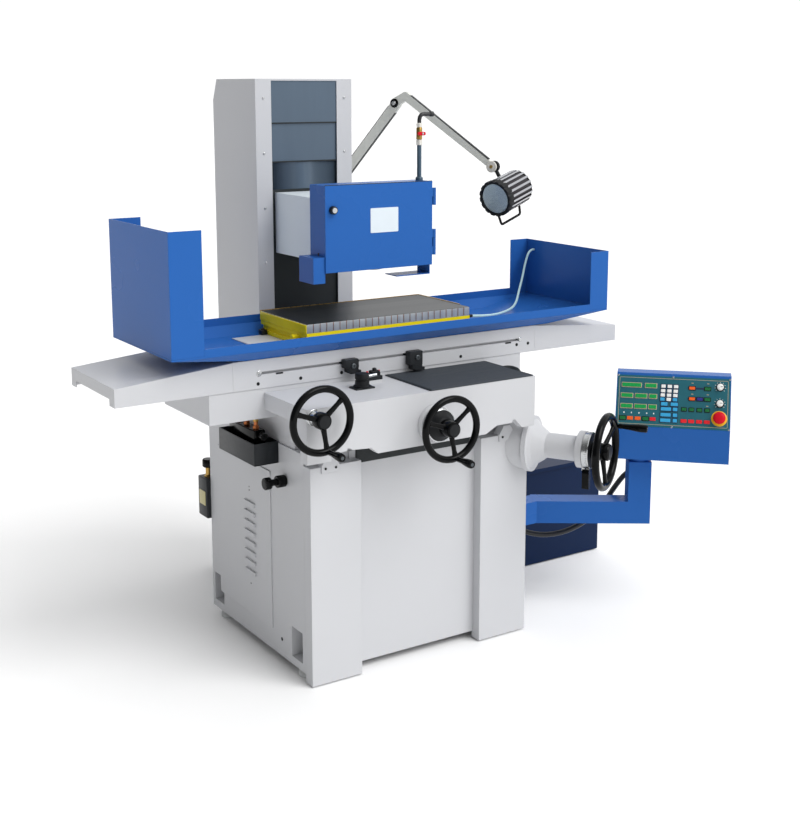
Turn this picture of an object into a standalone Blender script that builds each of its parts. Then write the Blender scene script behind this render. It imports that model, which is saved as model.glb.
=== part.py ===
"""Surface grinder, 300 x 600 mm class: a saddle-type machine with a moving column head.

Metres, +Z up. Every place below is given in the machine frame: X to the operator's right
from the wheel's centre plane, Y from the front of the base towards the column, Z up from
the floor. The empty "surface_grinder" carries that frame, shifted so that the world origin
is under the middle of the machine.
"""

import math

import bmesh
import bpy
from mathutils import Matrix, Vector

# ---- driving dimensions -------------------------------------------------------------
GAP = 0.0003  # running gap between pieces that touch

BASE_LEFT, BASE_RIGHT = -0.400, 0.385
BASE_DEPTH = 0.677
BASE_BOTTOM, BASE_TOP = 0.030, 0.700
BASE_WALL = 0.030
REAR_HALF, REAR_BACK, REAR_TOP = 0.210, 1.080, 0.720
POST_WIDTH, POST_DEPTH, POST_TOP = 0.170, 0.040, 0.667
FOOT_INSET, FOOT_RADIUS = 0.038, 0.031
LUG_TOP = 0.055
V_WAY_X, FLAT_WAY_X, WAY_WIDTH = -0.305, 0.270, 0.070
V_WAY_TOP, FLAT_WAY_TOP = 0.745, 0.735

COLUMN_HALF, COLUMN_FRONT, COLUMN_BACK = 0.182, 0.730, 1.050
COLUMN_TOP, COLUMN_SHEET = 1.762, 0.003
COLUMN_STRIP = 0.058
CASTING_FRONT, CASTING_BACK, CASTING_TOP = 0.775, 1.015, 1.700
CASTING_HALF, CASTING_WALL = 0.125, 0.025
SCREW_Y, SCREW_RADIUS = 0.890, 0.015

HEAD_LOW, HEAD_HIGH, HEAD_HALF, HEAD_FRONT = 1.190, 1.390, 0.110, 0.3600
WHEEL_Z, WHEEL_Y, WHEEL_RADIUS, WHEEL_WIDTH = 1.300, 0.305, 0.125, 0.040
CARTRIDGE_RADIUS, SPINDLE_RADIUS = 0.060, 0.018
GUARD_HALF, GUARD_FRONT, GUARD_BACK = 0.195, 0.262, 0.350
WHEEL_CLEARANCE = 0.020  # wheel's top to the guard's top
GUARD_LOW, GUARD_HIGH, GUARD_SHEET = 1.180, WHEEL_Z + WHEEL_RADIUS + WHEEL_CLEARANCE, 0.003
DOOR_THICK = 0.005
HINGE_RADIUS = 0.006

SADDLE_LEFT, SADDLE_RIGHT = -0.395, 0.380
SADDLE_FRONT, SADDLE_BACK = 0.100, 0.620
WING_LEFT, WING_RIGHT, WING_FRONT, WING_BACK = -0.625, 0.492, 0.1785, 0.500
WING_LOW, WING_TOP = 0.786, 0.8757
APRON_LEFT, APRON_RIGHT, APRON_FRONT = -0.450, 0.352, -0.075
APRON_LOW, APRON_TOP, APRON_SKIRT = 0.704, 0.862, 0.040
MAT_LEFT, MAT_RIGHT, MAT_THICK = -0.035, 0.346, 0.0035

TABLE_HALF, TABLE_FRONT, TABLE_BACK = 0.550, 0.176, 0.520
TABLE_LOW, TABLE_TOP = 0.876, 0.962
TABLE_END = 0.905
END_HIGH = 0.929
PAD_TOP = 0.9675
SLOT_Z, SLOT_HALF, SLOT_DEPTH = 0.921, 0.0040, 0.014
SLOT_LEFT, SLOT_RIGHT = -0.463, 0.485
CYLINDER_Z, CYLINDER_Y, CYLINDER_RADIUS, CYLINDER_BORE = 0.9024, 0.350, 0.026, 0.019
ROD_RADIUS = 0.010

TRAY_LEFT, TRAY_RIGHT, TRAY_FRONT, TRAY_BACK = -0.754, 0.825, 0.132, 0.570
TRAY_RIM, TRAY_EDGE, TRAY_SHEET = 1.020, 0.995, 0.003
LEFT_GUARD_TOP, RIGHT_GUARD_TOP = 1.352, 1.195
LEFT_FLANGE, RIGHT_FLANGE = 0.099, 0.076
CHUCK_LEFT, CHUCK_LENGTH = -0.280, 0.600
CHUCK_FRONT, CHUCK_WIDTH = 0.226, 0.300
CHUCK_PLATE_LOW, CHUCK_TOP = 1.010, 1.038

SMALL_WHEEL, SMALL_RIM = 0.0895, 0.0105  # rim centre-line radius, rim section radius
LARGE_WHEEL, LARGE_RIM = 0.1100, 0.0125
SHAFT_RADIUS = 0.0100
TABLE_WHEEL = Vector((-0.428, -0.122, 0.839))
CROSS_WHEEL = Vector((-0.026, -0.165, 0.767))

ELEVATING_ANGLE = math.radians(32.0)  # axis turned from the front towards the right
ELEVATING_FOOT = Vector((0.395, 0.000, 0.625))
HOUSING_LENGTH, FLANGE_RADIUS, TUBE_RADIUS = 0.185, 0.089, 0.040
WHEEL_REACH = 0.2487

FLANGE_TOP = ELEVATING_FOOT.z + FLANGE_RADIUS

TANK_FRONT, TANK_BACK, TANK_RIGHT, TANK_TOP = 0.440, 0.800, 1.088, 0.366

ARM_PIVOT = Vector((0.435, 0.160, 0.297))
ARM_CORNER_X = 0.550
ARM_ANGLE = math.radians(34.0)
ARM_REACH, ARM_SECTION, POST_HIGH = 0.3455, 0.075, 0.510
CONSOLE_LEFT, CONSOLE_RIGHT, CONSOLE_HALF = -0.079, 0.289, 0.080
CONSOLE_LOW, CONSOLE_BEND, CONSOLE_TOP = 0.531, 0.642, 0.806

LAMP_FOOT = Vector((0.212, 0.920, 1.345))
LAMP_HEADING = Vector((0.4335, -0.9011, 0.0))
LAMP_SHOULDER_Z = 1.375
LAMP_ELBOW = Vector((0.3263, 0.6780, 1.6813))
LAMP_TILT = Vector((0.4896, 0.3380, 1.4765))
LAMP_CENTRE = Vector((0.522, 0.300, 1.393))
LAMP_AIM = Vector((-0.921, -0.311, -0.236)).normalized()
LAMP_RADIUS, LAMP_LENGTH = 0.061, 0.150

RIGHT = Vector((1, 0, 0))
BACK = Vector((0, 1, 0))
FRONT = Vector((0, -1, 0))
UP = Vector((0, 0, 1))

# ---- scene and collections ----------------------------------------------------------
for old in list(bpy.data.objects):
    bpy.data.objects.remove(old, do_unlink=True)

PARTS = bpy.data.collections.new("surface_grinder_parts")
CUTTERS = bpy.data.collections.new("surface_grinder_cutters")
for collection in (PARTS, CUTTERS):
    bpy.context.scene.collection.children.link(collection)

machine = bpy.data.objects.new("surface_grinder", None)
PARTS.objects.link(machine)


# ---- materials ----------------------------------------------------------------------
def material(name, colour, roughness, metallic=0.0):
    made = bpy.data.materials.new(name)
    made.use_nodes = True
    shader = made.node_tree.nodes["Principled BSDF"]
    shader.inputs["Base Color"].default_value = (*colour, 1.0)
    shader.inputs["Roughness"].default_value = roughness
    shader.inputs["Metallic"].default_value = metallic
    return made


PAINT = material("white_machine_paint", (0.80, 0.81, 0.83), 0.35)
GREY = material("light_grey_paint", (0.60, 0.62, 0.65), 0.40)
BLUE = material("blue_machine_paint", (0.02, 0.12, 0.52), 0.35)
IRON = material("ground_cast_iron", (0.42, 0.43, 0.44), 0.35, 1.0)
STEEL = material("bright_steel", (0.55, 0.56, 0.58), 0.25, 1.0)
SLATE = material("blued_steel_plate", (0.07, 0.08, 0.10), 0.40, 0.6)
BLACK = material("black_phenolic", (0.012, 0.012, 0.014), 0.25)
RUBBER = material("black_rubber", (0.02, 0.02, 0.022), 0.70)
YELLOW = material("yellow_enamel", (0.85, 0.68, 0.02), 0.35)
RED = material("red_plastic", (0.65, 0.02, 0.02), 0.35)
ABRASIVE = material("white_aluminium_oxide", (0.75, 0.72, 0.68), 0.90)
NAVY = material("dark_blue_tank_paint", (0.05, 0.065, 0.10), 0.35)
CABLE = material("pale_cable_jacket", (0.45, 0.62, 0.72), 0.45)


# ---- making shapes ------------------------------------------------------------------
def add(name, mesh, at=(0, 0, 0)):
    """An object in the machine frame."""
    made = bpy.data.objects.new(name, mesh)
    PARTS.objects.link(made)
    made.parent = machine
    made.location = at
    return made


def mesh_from(name, work):
    mesh = bpy.data.meshes.new(name)
    work.to_mesh(mesh)
    work.free()
    return mesh


def box(name, low, high):
    """A rectangular block between two opposite corners."""
    low, high = Vector(low), Vector(high)
    work = bmesh.new()
    bmesh.ops.create_cube(work, size=1.0)
    bmesh.ops.scale(work, vec=high - low, verts=work.verts)
    return add(name, mesh_from(name, work), (low + high) / 2)


def tapered_box(name, foot, head, low, high):
    """A block whose foot and head are two rectangles (x0, y0, x1, y1)."""
    work = bmesh.new()
    bmesh.ops.create_cube(work, size=2.0)
    for vertex in work.verts:
        x0, y0, x1, y1 = head if vertex.co.z > 0 else foot
        vertex.co.x = x1 if vertex.co.x > 0 else x0
        vertex.co.y = y1 if vertex.co.y > 0 else y0
        vertex.co.z = high if vertex.co.z > 0 else low
    return add(name, mesh_from(name, work))


def rod(name, start, end, radius, end_radius=None, sides=24):
    """A round bar, or a cone, from start to end."""
    start, end = Vector(start), Vector(end)
    work = bmesh.new()
    bmesh.ops.create_cone(work, cap_ends=True, segments=sides, radius1=radius,
                          radius2=radius if end_radius is None else end_radius,
                          depth=(end - start).length)
    made = add(name, mesh_from(name, work), (start + end) / 2)
    made.rotation_euler = (end - start).to_track_quat("Z", "Y").to_euler()
    smooth(made)
    return made


def turned(name, profile, at, axis=UP, sides=32):
    """A profile of (radius, height) points, top to bottom down its outer side, turned about axis."""
    mesh = bpy.data.meshes.new(name)
    mesh.from_pydata([(r, 0, h) for r, h in profile],
                     [(i, i + 1) for i in range(len(profile) - 1)], [])
    made = add(name, mesh, at)
    made.rotation_euler = Vector(axis).to_track_quat("Z", "Y").to_euler()
    spin = made.modifiers.new("turn", "SCREW")
    spin.steps = spin.render_steps = sides
    spin.use_merge_vertices = True
    spin.merge_threshold = 0.00001
    return made


def plate(name, outline, thickness, at=(0, 0, 0), across=UP, along=RIGHT):
    """A flat outline of (u, v) points, thickness deep about its own plane.

    across is the plate's normal, and along is the direction that u runs in.
    """
    curve = bpy.data.curves.new(name, "CURVE")
    curve.dimensions = "2D"
    curve.fill_mode = "BOTH"
    curve.extrude = thickness / 2
    spline = curve.splines.new("POLY")
    spline.points.add(len(outline) - 1)
    for point, (u, v) in zip(spline.points, outline):
        point.co = (u, v, 0, 1)
    spline.use_cyclic_u = True
    made = add(name, curve, at)
    across, along = Vector(across).normalized(), Vector(along).normalized()
    made.rotation_euler = Matrix((along, across.cross(along), across)).transposed().to_euler()
    return solidified(made)


def tube(name, route, radius, sides=2, at=(0, 0, 0)):
    """A round bar that follows the points of route."""
    curve = bpy.data.curves.new(name, "CURVE")
    curve.dimensions = "3D"
    curve.bevel_depth = radius
    curve.bevel_resolution = sides
    curve.use_fill_caps = True
    spline = curve.splines.new("POLY")
    spline.points.add(len(route) - 1)
    for point, place in zip(spline.points, route):
        point.co = (*place, 1)
    return add(name, curve, at)


def solidified(curve_object):
    """The same shape as a mesh with its caps welded, in place of a curve object."""
    bpy.context.view_layer.update()
    graph = bpy.context.evaluated_depsgraph_get()
    mesh = bpy.data.meshes.new_from_object(curve_object.evaluated_get(graph))
    work = bmesh.new()
    work.from_mesh(mesh)
    bmesh.ops.remove_doubles(work, verts=work.verts, dist=0.00001)
    bmesh.ops.recalc_face_normals(work, faces=work.faces)
    work.to_mesh(mesh)
    work.free()
    name, place = curve_object.name, curve_object.location.copy()
    turn = curve_object.rotation_euler.copy()
    curve = curve_object.data
    bpy.data.objects.remove(curve_object)
    bpy.data.curves.remove(curve)
    made = add(name, mesh, place)
    made.rotation_euler = turn
    return made


def smooth_route(points, count):
    """count places along a smooth curve through the route's own points."""
    places = [Vector(p) for p in points]
    ends = [places[0] * 2 - places[1]] + places + [places[-1] * 2 - places[-2]]
    route = []
    spans = len(places) - 1
    for step in range(count):
        t = step / (count - 1) * spans
        i = min(int(t), spans - 1)
        t -= i
        a, b, c, d = ends[i:i + 4]
        route.append(0.5 * (2 * b + (c - a) * t + (2 * a - 5 * b + 4 * c - d) * t * t
                            + (3 * b - a - 3 * c + d) * t ** 3))
    return route


def smooth(made, degrees=35.0):
    made.data.shade_smooth()
    made.data.set_sharp_from_angle(angle=math.radians(degrees))


def tool(made):
    """Turns an object into a helper of a Boolean: hidden, and in the cutters' collection."""
    made.hide_render = True
    made.display_type = "WIRE"
    PARTS.objects.unlink(made)
    CUTTERS.objects.link(made)
    return made


def boolean(made, other, operation):
    modifier = made.modifiers.new(other.name, "BOOLEAN")
    modifier.operation = operation
    modifier.solver = "EXACT"
    modifier.object = tool(other)
    return made


def cut(made, *others):
    for other in others:
        boolean(made, other, "DIFFERENCE")
    return made


def join(made, *others):
    for other in others:
        boolean(made, other, "UNION")
    return made


def finish(made, look):
    made.data.materials.clear()
    made.data.materials.append(look)
    return made


# ---- joints -------------------------------------------------------------------------
def pivot(name, at, parent=None):
    """An empty on a joint's axis, which carries what moves with it."""
    made = bpy.data.objects.new(name, None)
    made.empty_display_size = 0.05
    PARTS.objects.link(made)
    made.parent = parent or machine
    made["place"] = Vector(at)
    made.location = Vector(at) - (Vector(parent["place"]) if parent else Vector())
    return made


def carry(joint, *pieces):
    for piece in pieces:
        piece.parent = joint
        piece.location = piece.location - Vector(joint["place"])


saddle_slide = pivot("saddle_slide", (0, SADDLE_FRONT, BASE_TOP))
table_slide = pivot("table_slide", (0, TABLE_FRONT, TABLE_LOW), saddle_slide)
table_wheel_spin = pivot("table_wheel_spin", TABLE_WHEEL, saddle_slide)
cross_wheel_spin = pivot("cross_wheel_spin", CROSS_WHEEL, saddle_slide)
head_slide = pivot("head_slide", (0, COLUMN_FRONT, HEAD_LOW))
cover_slide = pivot("cover_slide", (0, COLUMN_FRONT, HEAD_HIGH))
screw_spin = pivot("elevating_screw_spin", (0, SCREW_Y, 0.8))
spindle_spin = pivot("spindle_spin", (0, WHEEL_Y, WHEEL_Z), head_slide)
ELEVATING_AXIS = Vector((math.sin(ELEVATING_ANGLE), -math.cos(ELEVATING_ANGLE), 0))
ELEVATING_SIDE = Vector((math.cos(ELEVATING_ANGLE), math.sin(ELEVATING_ANGLE), 0))
elevating_spin = pivot("elevating_wheel_spin", ELEVATING_FOOT + WHEEL_REACH * ELEVATING_AXIS)


# ---- base ---------------------------------------------------------------------------
def foot_places():
    """Levelling feet under the four corners of the base."""
    for side, x in (("left", BASE_LEFT + FOOT_INSET), ("right", BASE_RIGHT - FOOT_INSET)):
        for end, y in (("front", POST_DEPTH + 0.052), ("rear", BASE_DEPTH - 0.050)):
            yield f"foot_{end}_{side}", x, y


def base_casting():
    made = box("base_casting", (BASE_LEFT, POST_DEPTH, BASE_BOTTOM), (BASE_RIGHT, BASE_DEPTH, BASE_TOP))
    join(made, box("rear_block", (-REAR_HALF, BASE_DEPTH - 0.08, BASE_BOTTOM),
                   (REAR_HALF, REAR_BACK, BASE_TOP - 0.002)))
    join(made, box("column_seat", (-REAR_HALF, COLUMN_FRONT - 0.020, BASE_TOP - 0.010),
                   (REAR_HALF, REAR_BACK, REAR_TOP)))
    inner = BASE_WALL
    hollow_top = BASE_TOP - 0.040
    under = BASE_BOTTOM - 0.010
    cut(made, box("base_hollow_wide", (BASE_LEFT + inner, 0.160, under),
                  (BASE_RIGHT - inner, BASE_DEPTH - 0.115, hollow_top)))
    cut(made, box("base_hollow_long", (BASE_LEFT + 0.115, POST_DEPTH + inner, under + 0.002),
                  (BASE_RIGHT - 0.115, BASE_DEPTH - inner, hollow_top - 0.004)))
    cut(made, box("rear_hollow", (-REAR_HALF + inner, BASE_DEPTH - 0.06, under + 0.004),
                  (REAR_HALF - inner, REAR_BACK - inner, REAR_TOP - 0.040)))
    half = WAY_WIDTH / 2
    v_way = plate("v_way", [(-half, 0), (half, 0), (half, 0.020), (0, V_WAY_TOP - BASE_TOP + 0.005),
                            (-half, 0.020)], BASE_DEPTH - POST_DEPTH - 0.04,
                  (V_WAY_X, (BASE_DEPTH + POST_DEPTH) / 2, BASE_TOP - 0.005), FRONT, RIGHT)
    flat_way = box("flat_way", (FLAT_WAY_X - half, POST_DEPTH + 0.02, BASE_TOP - 0.005),
                   (FLAT_WAY_X + half, BASE_DEPTH - 0.02, FLAT_WAY_TOP))
    join(made, v_way, flat_way)
    nut = box("cross_nut", (CROSS_WHEEL.x - 0.030, 0.360, BASE_TOP - 0.005),
              (CROSS_WHEEL.x + 0.030, 0.420, CROSS_WHEEL.z + 0.028))
    join(made, nut)
    cut(made, rod("cross_nut_bore", (CROSS_WHEEL.x, 0.340, CROSS_WHEEL.z),
                  (CROSS_WHEEL.x, 0.440, CROSS_WHEEL.z), SHAFT_RADIUS + 0.0006))
    inward = ELEVATING_FOOT - ELEVATING_AXIS * 0.200
    boss = rod("housing_boss", inward, ELEVATING_FOOT - GAP * ELEVATING_AXIS, FLANGE_RADIUS - 0.006, sides=40)
    cut(boss, box("boss_top", (0.1, POST_DEPTH, BASE_TOP - 0.001), (0.6, 0.4, BASE_TOP + 0.03)))
    join(made, boss)
    cut(made, rod("housing_bore", ELEVATING_FOOT - 0.080 * ELEVATING_AXIS,
                  ELEVATING_FOOT + 0.010 * ELEVATING_AXIS, SHAFT_RADIUS + 0.002))
    lug_front, lug_back = ARM_PIVOT.y - 0.036, ARM_PIVOT.y + 0.036
    thick = 0.012
    for name, low in (("lower_lug", ARM_PIVOT.z - thick - GAP),
                      ("upper_lug", ARM_PIVOT.z + ARM_SECTION + 0.001 + GAP)):
        join(made, box(name, (BASE_RIGHT - 0.01, lug_front, low),
                       (ARM_PIVOT.x + 0.025, lug_back, low + thick)))
    join(made, rod("arm_pin", ARM_PIVOT - 0.006 * UP, ARM_PIVOT + (ARM_SECTION + 0.008) * UP, 0.008))
    for name, x, y in foot_places():
        outward = -1 if x < 0 else 1
        edge = BASE_LEFT if x < 0 else BASE_RIGHT
        xs = sorted((edge + outward * 0.010, x - outward * 0.022))
        cut(made, box(name + "_pocket", (xs[0], y - 0.034, LUG_TOP), (xs[1], y + 0.034, LUG_TOP + 0.095)))
        cut(made, rod(name + "_hole", (x, y, BASE_BOTTOM - 0.01), (x, y, LUG_TOP + 0.01), 0.009))
    return finish(made, PAINT)


def feet():
    """Each foot is a domed pad with a levelling screw and its nut."""
    for name, x, y in foot_places():
        profile = [(0.0, 0.130), (0.008, 0.130), (0.008, LUG_TOP + GAP + 0.014),
                   (0.0145, LUG_TOP + GAP + 0.014), (0.0145, LUG_TOP + GAP), (0.0083, LUG_TOP + GAP),
                   (0.0083, BASE_BOTTOM - GAP), (0.018, BASE_BOTTOM - GAP), (0.027, 0.021),
                   (FOOT_RADIUS, 0.011), (FOOT_RADIUS, 0.0), (0.0, 0.0)]
        finish(turned(name, profile, (x, y, 0), sides=24), PAINT)


def front_cover():
    """One folded sheet: two posts with a panel set back between them."""
    low = 0.004
    made = box("front_cover", (BASE_LEFT, 0, low), (BASE_LEFT + POST_WIDTH, POST_DEPTH - GAP, POST_TOP))
    join(made, box("right_post", (BASE_RIGHT - POST_WIDTH - 0.011, 0, low),
                   (BASE_RIGHT, POST_DEPTH - GAP, POST_TOP)))
    join(made, box("middle_panel", (BASE_LEFT + POST_WIDTH - 0.02, POST_DEPTH - 0.005, 0.025),
                   (BASE_RIGHT - POST_WIDTH, POST_DEPTH - GAP - 0.0002, BASE_TOP - 0.010)))
    for name, x in (("left_wiper", V_WAY_X - 0.030), ("right_wiper", FLAT_WAY_X + 0.030)):
        outline = [(-0.029, 0), (0.029, 0), (0.029, 0.022), (0.012, 0.048), (-0.012, 0.048), (-0.029, 0.022)]
        join(made, plate(name, outline, 0.030, (x, 0.010, 0.649), FRONT, RIGHT))
    inward = ELEVATING_FOOT - ELEVATING_AXIS * 0.250
    cut(made, rod("boss_clearance", inward, ELEVATING_FOOT + ELEVATING_AXIS * 0.150,
                  FLANGE_RADIUS - 0.006 + GAP, sides=40))
    cut(made, rod("flange_clearance", ELEVATING_FOOT - GAP * ELEVATING_AXIS * 2,
                  ELEVATING_FOOT + ELEVATING_AXIS * 0.150, FLANGE_RADIUS + GAP, sides=40))
    return finish(made, PAINT)


def access_door():
    out = BASE_LEFT - GAP
    made = box("access_door", (out - 0.003, 0.245, 0.100), (out, 0.610, 0.600))
    for step in range(8):
        z = 0.235 + step * 0.032
        join(made, box(f"louvre_{step}", (out - 0.009, 0.345, z), (out - 0.002, 0.415, z + 0.011)))
    return finish(made, PAINT)


def column():
    floor = REAR_TOP + GAP
    made = box("column_casting", (-CASTING_HALF, CASTING_FRONT, floor),
               (CASTING_HALF, CASTING_BACK, CASTING_TOP))
    wall = CASTING_WALL
    cut(made, box("column_hollow", (-CASTING_HALF + wall, CASTING_FRONT + wall, floor + 0.030),
                  (CASTING_HALF - wall, CASTING_BACK - wall, CASTING_TOP + 0.01)))
    cut(made, box("nut_slot", (-0.060, CASTING_FRONT - 0.01, 0.980), (0.060, CASTING_FRONT + wall + 0.01, 1.660)))
    finish(made, IRON)

    outline = [(COLUMN_FRONT, floor), (COLUMN_BACK, floor), (COLUMN_BACK, COLUMN_TOP - 0.070),
               (COLUMN_BACK - 0.030, COLUMN_TOP), (COLUMN_FRONT, COLUMN_TOP)]
    cover = plate("column_cover", outline, 2 * COLUMN_HALF, (0, 0, 0), RIGHT, BACK)
    sheet = COLUMN_SHEET
    inside = [(COLUMN_FRONT + sheet, floor - 0.01), (COLUMN_BACK - sheet, floor - 0.01),
              (COLUMN_BACK - sheet, COLUMN_TOP - 0.070 - sheet / 2),
              (COLUMN_BACK - 0.030 - sheet, COLUMN_TOP - sheet), (COLUMN_FRONT + sheet, COLUMN_TOP - sheet)]
    cut(cover, plate("cover_inside", inside, 2 * (COLUMN_HALF - sheet), (0, 0, 0), RIGHT, BACK))
    opening = COLUMN_HALF - COLUMN_STRIP
    cut(cover, box("cover_opening", (-opening, COLUMN_FRONT - 0.01, floor - 0.02),
                   (opening, COLUMN_FRONT + 0.02, COLUMN_TOP - 2 * sheet)))
    foot = LAMP_FOOT
    join(cover, box("lamp_bracket", (COLUMN_HALF - 0.001, foot.y - 0.022, foot.z - 0.045),
                    (foot.x + 0.018, foot.y + 0.022, foot.z - GAP)))
    finish(cover, GREY)


PLATE_STEP = 0.0035  # pitch of the telescopic plates behind one another
PLATE_HALF = 0.150


def way_plate(name, order, low, high, look):
    front = COLUMN_FRONT + COLUMN_SHEET + GAP + order * PLATE_STEP
    return finish(box(name, (-PLATE_HALF, front, low), (PLATE_HALF, front + 0.003, high)), look)


def rear_valve_block():
    y = BASE_DEPTH + GAP
    made = box("rear_valve_block", (-0.415, y, 0.330), (-0.335, y + 0.066, 0.465))
    knob = [(0, 0.060), (0.017, 0.060), (0.019, 0.056), (0.019, 0.036), (0.009, 0.032),
            (0.009, 0.004), (0.014, 0.002), (0.014, -0.004), (0, -0.004)]
    join(made, turned("valve_knob", knob, (-0.392, y + 0.033, 0.465), UP, 24))
    return finish(made, BLACK)


def lube_unit():
    """An open drip box on the left wall with the oil distributor standing in it."""
    out = BASE_LEFT - GAP
    low, high = 0.640, 0.707
    made = box("lube_unit", (-0.480, 0.190, low), (out, 0.430, high))
    cut(made, box("drip_box", (-0.477, 0.193, low + 0.003), (out - 0.003, 0.427, high + 0.01)))
    join(made, box("distributor", (-0.462, 0.225, low + 0.001), (-0.425, 0.395, 0.738)))
    for step in range(3):
        y = 0.250 + step * 0.060
        join(made, rod(f"union_{step}", (-0.443, y, 0.730), (-0.443, y, 0.768), 0.010, sides=12))
    return finish(made, BLACK)


def coolant_tank():
    left = BASE_RIGHT + GAP
    made = box("coolant_tank", (left, TANK_FRONT, 0.004), (TANK_RIGHT, TANK_BACK, TANK_TOP - 0.010))
    join(made, box("tank_lid", (left, TANK_FRONT - 0.006, TANK_TOP - 0.014),
                   (TANK_RIGHT + 0.006, TANK_BACK + 0.006, TANK_TOP)))
    sheet = 0.004
    cut(made, box("tank_inside", (left + sheet, TANK_FRONT + sheet, 0.004 + sheet),
                  (TANK_RIGHT - sheet, TANK_BACK - sheet, TANK_TOP - 0.016)))
    drain = Vector(((left + TANK_RIGHT) / 2, (TANK_FRONT + TANK_BACK) / 2, 0))
    cut(made, rod("tank_drain", drain, drain + 0.020 * UP, 0.025))
    return finish(made, NAVY)


# ---- handwheels ---------------------------------------------------------------------
def frame_of(centre, axis, side):
    """Places in a wheel's own frame: side, up and out along its axis."""
    def at(u, v, w):
        return centre + u * side + v * UP + w * axis
    return at


def handwheel(name, centre, axis, side, radius, rim, hub, spokes, shaft):
    """A three-spoke handwheel with its shaft.

    hub is (radius, back, front) along the axis from the rim's plane, spokes are angles in
    degrees from side towards up, and shaft is how far it reaches behind the rim's plane.
    """
    at = frame_of(centre, axis, side)
    work = bmesh.new()
    mesh_name = name
    ring_steps, rim_steps = 40, 10
    verts = []
    for i in range(ring_steps):
        turn = 2 * math.pi * i / ring_steps
        ring = []
        for j in range(rim_steps):
            roll = 2 * math.pi * j / rim_steps
            reach = radius + rim * math.cos(roll)
            ring.append(work.verts.new((reach * math.cos(turn), reach * math.sin(turn),
                                        rim * math.sin(roll))))
        verts.append(ring)
    for i in range(ring_steps):
        for j in range(rim_steps):
            a, b = verts[i], verts[(i + 1) % ring_steps]
            k = (j + 1) % rim_steps
            work.faces.new((a[j], b[j], b[k], a[k]))
    made = add(mesh_name, mesh_from(mesh_name, work), centre)
    made.rotation_euler = axis.to_track_quat("Z", "Y").to_euler()
    smooth(made)
    hub_radius, back, front = hub
    profile = [(0, front), (hub_radius * 0.8, front), (hub_radius, front - 0.004), (hub_radius, back),
               (SHAFT_RADIUS, back), (SHAFT_RADIUS, -shaft), (0, -shaft)]
    join(made, turned(name + "_hub", profile, centre, axis, 24))
    for step, angle in enumerate(spokes):
        u, v = math.cos(math.radians(angle)), math.sin(math.radians(angle))
        start = at(u * hub_radius * 0.5, v * hub_radius * 0.5, (back + front) * 0.5)
        join(made, rod(f"{name}_spoke_{step}", start, at(u * radius, v * radius, 0.0),
                       rim * 0.80, rim * 0.62, 10))
    return made


def grip(name, centre, axis, side, radius, rim, angle, length):
    """The revolving grip that stands on a handwheel's rim."""
    at = frame_of(centre, axis, side)
    u, v = math.cos(math.radians(angle)), math.sin(math.radians(angle))
    foot = at(u * radius, v * radius, rim + GAP)
    profile = [(0, length), (0.009, length), (0.0125, length - 0.003), (0.0125, length * 0.72),
               (0.0085, 0.016), (0.0085, 0.004), (0.0060, 0.0), (0, 0.0)]
    return foot, turned(name, profile, foot, axis, 20)


def handwheels():
    spin = table_wheel_spin
    wheel = handwheel("table_handwheel", TABLE_WHEEL, FRONT, RIGHT, SMALL_WHEEL, SMALL_RIM,
                      (0.024, -0.016, 0.018), (40, 160, 280), 0.330)
    carry(spin, finish(wheel, BLACK))
    foot, handle = grip("table_wheel_grip", TABLE_WHEEL, FRONT, RIGHT, SMALL_WHEEL, SMALL_RIM, 280, 0.072)
    grip_spin = pivot("table_grip_spin", foot, spin)
    carry(grip_spin, finish(handle, BLACK))

    spin = cross_wheel_spin
    wheel = handwheel("cross_handwheel", CROSS_WHEEL, FRONT, RIGHT, SMALL_WHEEL, SMALL_RIM,
                      (0.024, -0.040, 0.018), (40, 160, 280), 0.830)
    join(wheel, turned("cross_dial", [(0, -0.030), (0.030, -0.030), (0.036, -0.044), (0.050, -0.052),
                                      (0.050, -0.074), (0, -0.074)], CROSS_WHEEL, FRONT, 36))
    carry(spin, finish(wheel, BLACK))
    foot, handle = grip("cross_wheel_grip", CROSS_WHEEL, FRONT, RIGHT, SMALL_WHEEL, SMALL_RIM, 280, 0.072)
    grip_spin = pivot("cross_grip_spin", foot, spin)
    carry(grip_spin, finish(handle, BLACK))

    spin = elevating_spin
    centre = Vector(spin["place"])
    wheel = handwheel("elevating_handwheel", centre, ELEVATING_AXIS, ELEVATING_SIDE, LARGE_WHEEL, LARGE_RIM,
                      (0.027, -0.042, 0.016), (35, 155, 275), WHEEL_REACH + 0.050)
    dial_back = HOUSING_LENGTH + GAP - WHEEL_REACH
    join(wheel, turned("elevating_dial", [(0, dial_back + 0.021), (0.055, dial_back + 0.021),
                                          (0.057, dial_back + 0.019), (0.057, dial_back), (0, dial_back)],
                       centre, ELEVATING_AXIS, 36))
    carry(spin, finish(wheel, BLACK))
    foot, handle = grip("elevating_grip", centre, ELEVATING_AXIS, ELEVATING_SIDE, LARGE_WHEEL, LARGE_RIM,
                        35, 0.094)
    grip_spin = pivot("elevating_grip_spin", foot, spin)
    carry(grip_spin, finish(handle, BLACK))


def elevating_housing():
    """Bell and tube that carry the elevating handwheel's shaft, with the fixed ring."""
    ring = HOUSING_LENGTH - 0.020
    bore = SHAFT_RADIUS + 0.0004
    profile = [(bore, HOUSING_LENGTH), (0.0585, HOUSING_LENGTH), (0.0585, ring), (TUBE_RADIUS, ring - 0.004),
               (TUBE_RADIUS, 0.062), (0.048, 0.052), (0.066, 0.026), (0.078, 0.016),
               (FLANGE_RADIUS, 0.015), (FLANGE_RADIUS, 0.0), (bore, 0.0), (bore, HOUSING_LENGTH)]
    made = turned("elevating_housing", profile, ELEVATING_FOOT, ELEVATING_AXIS, 40)
    return finish(made, PAINT)


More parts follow.
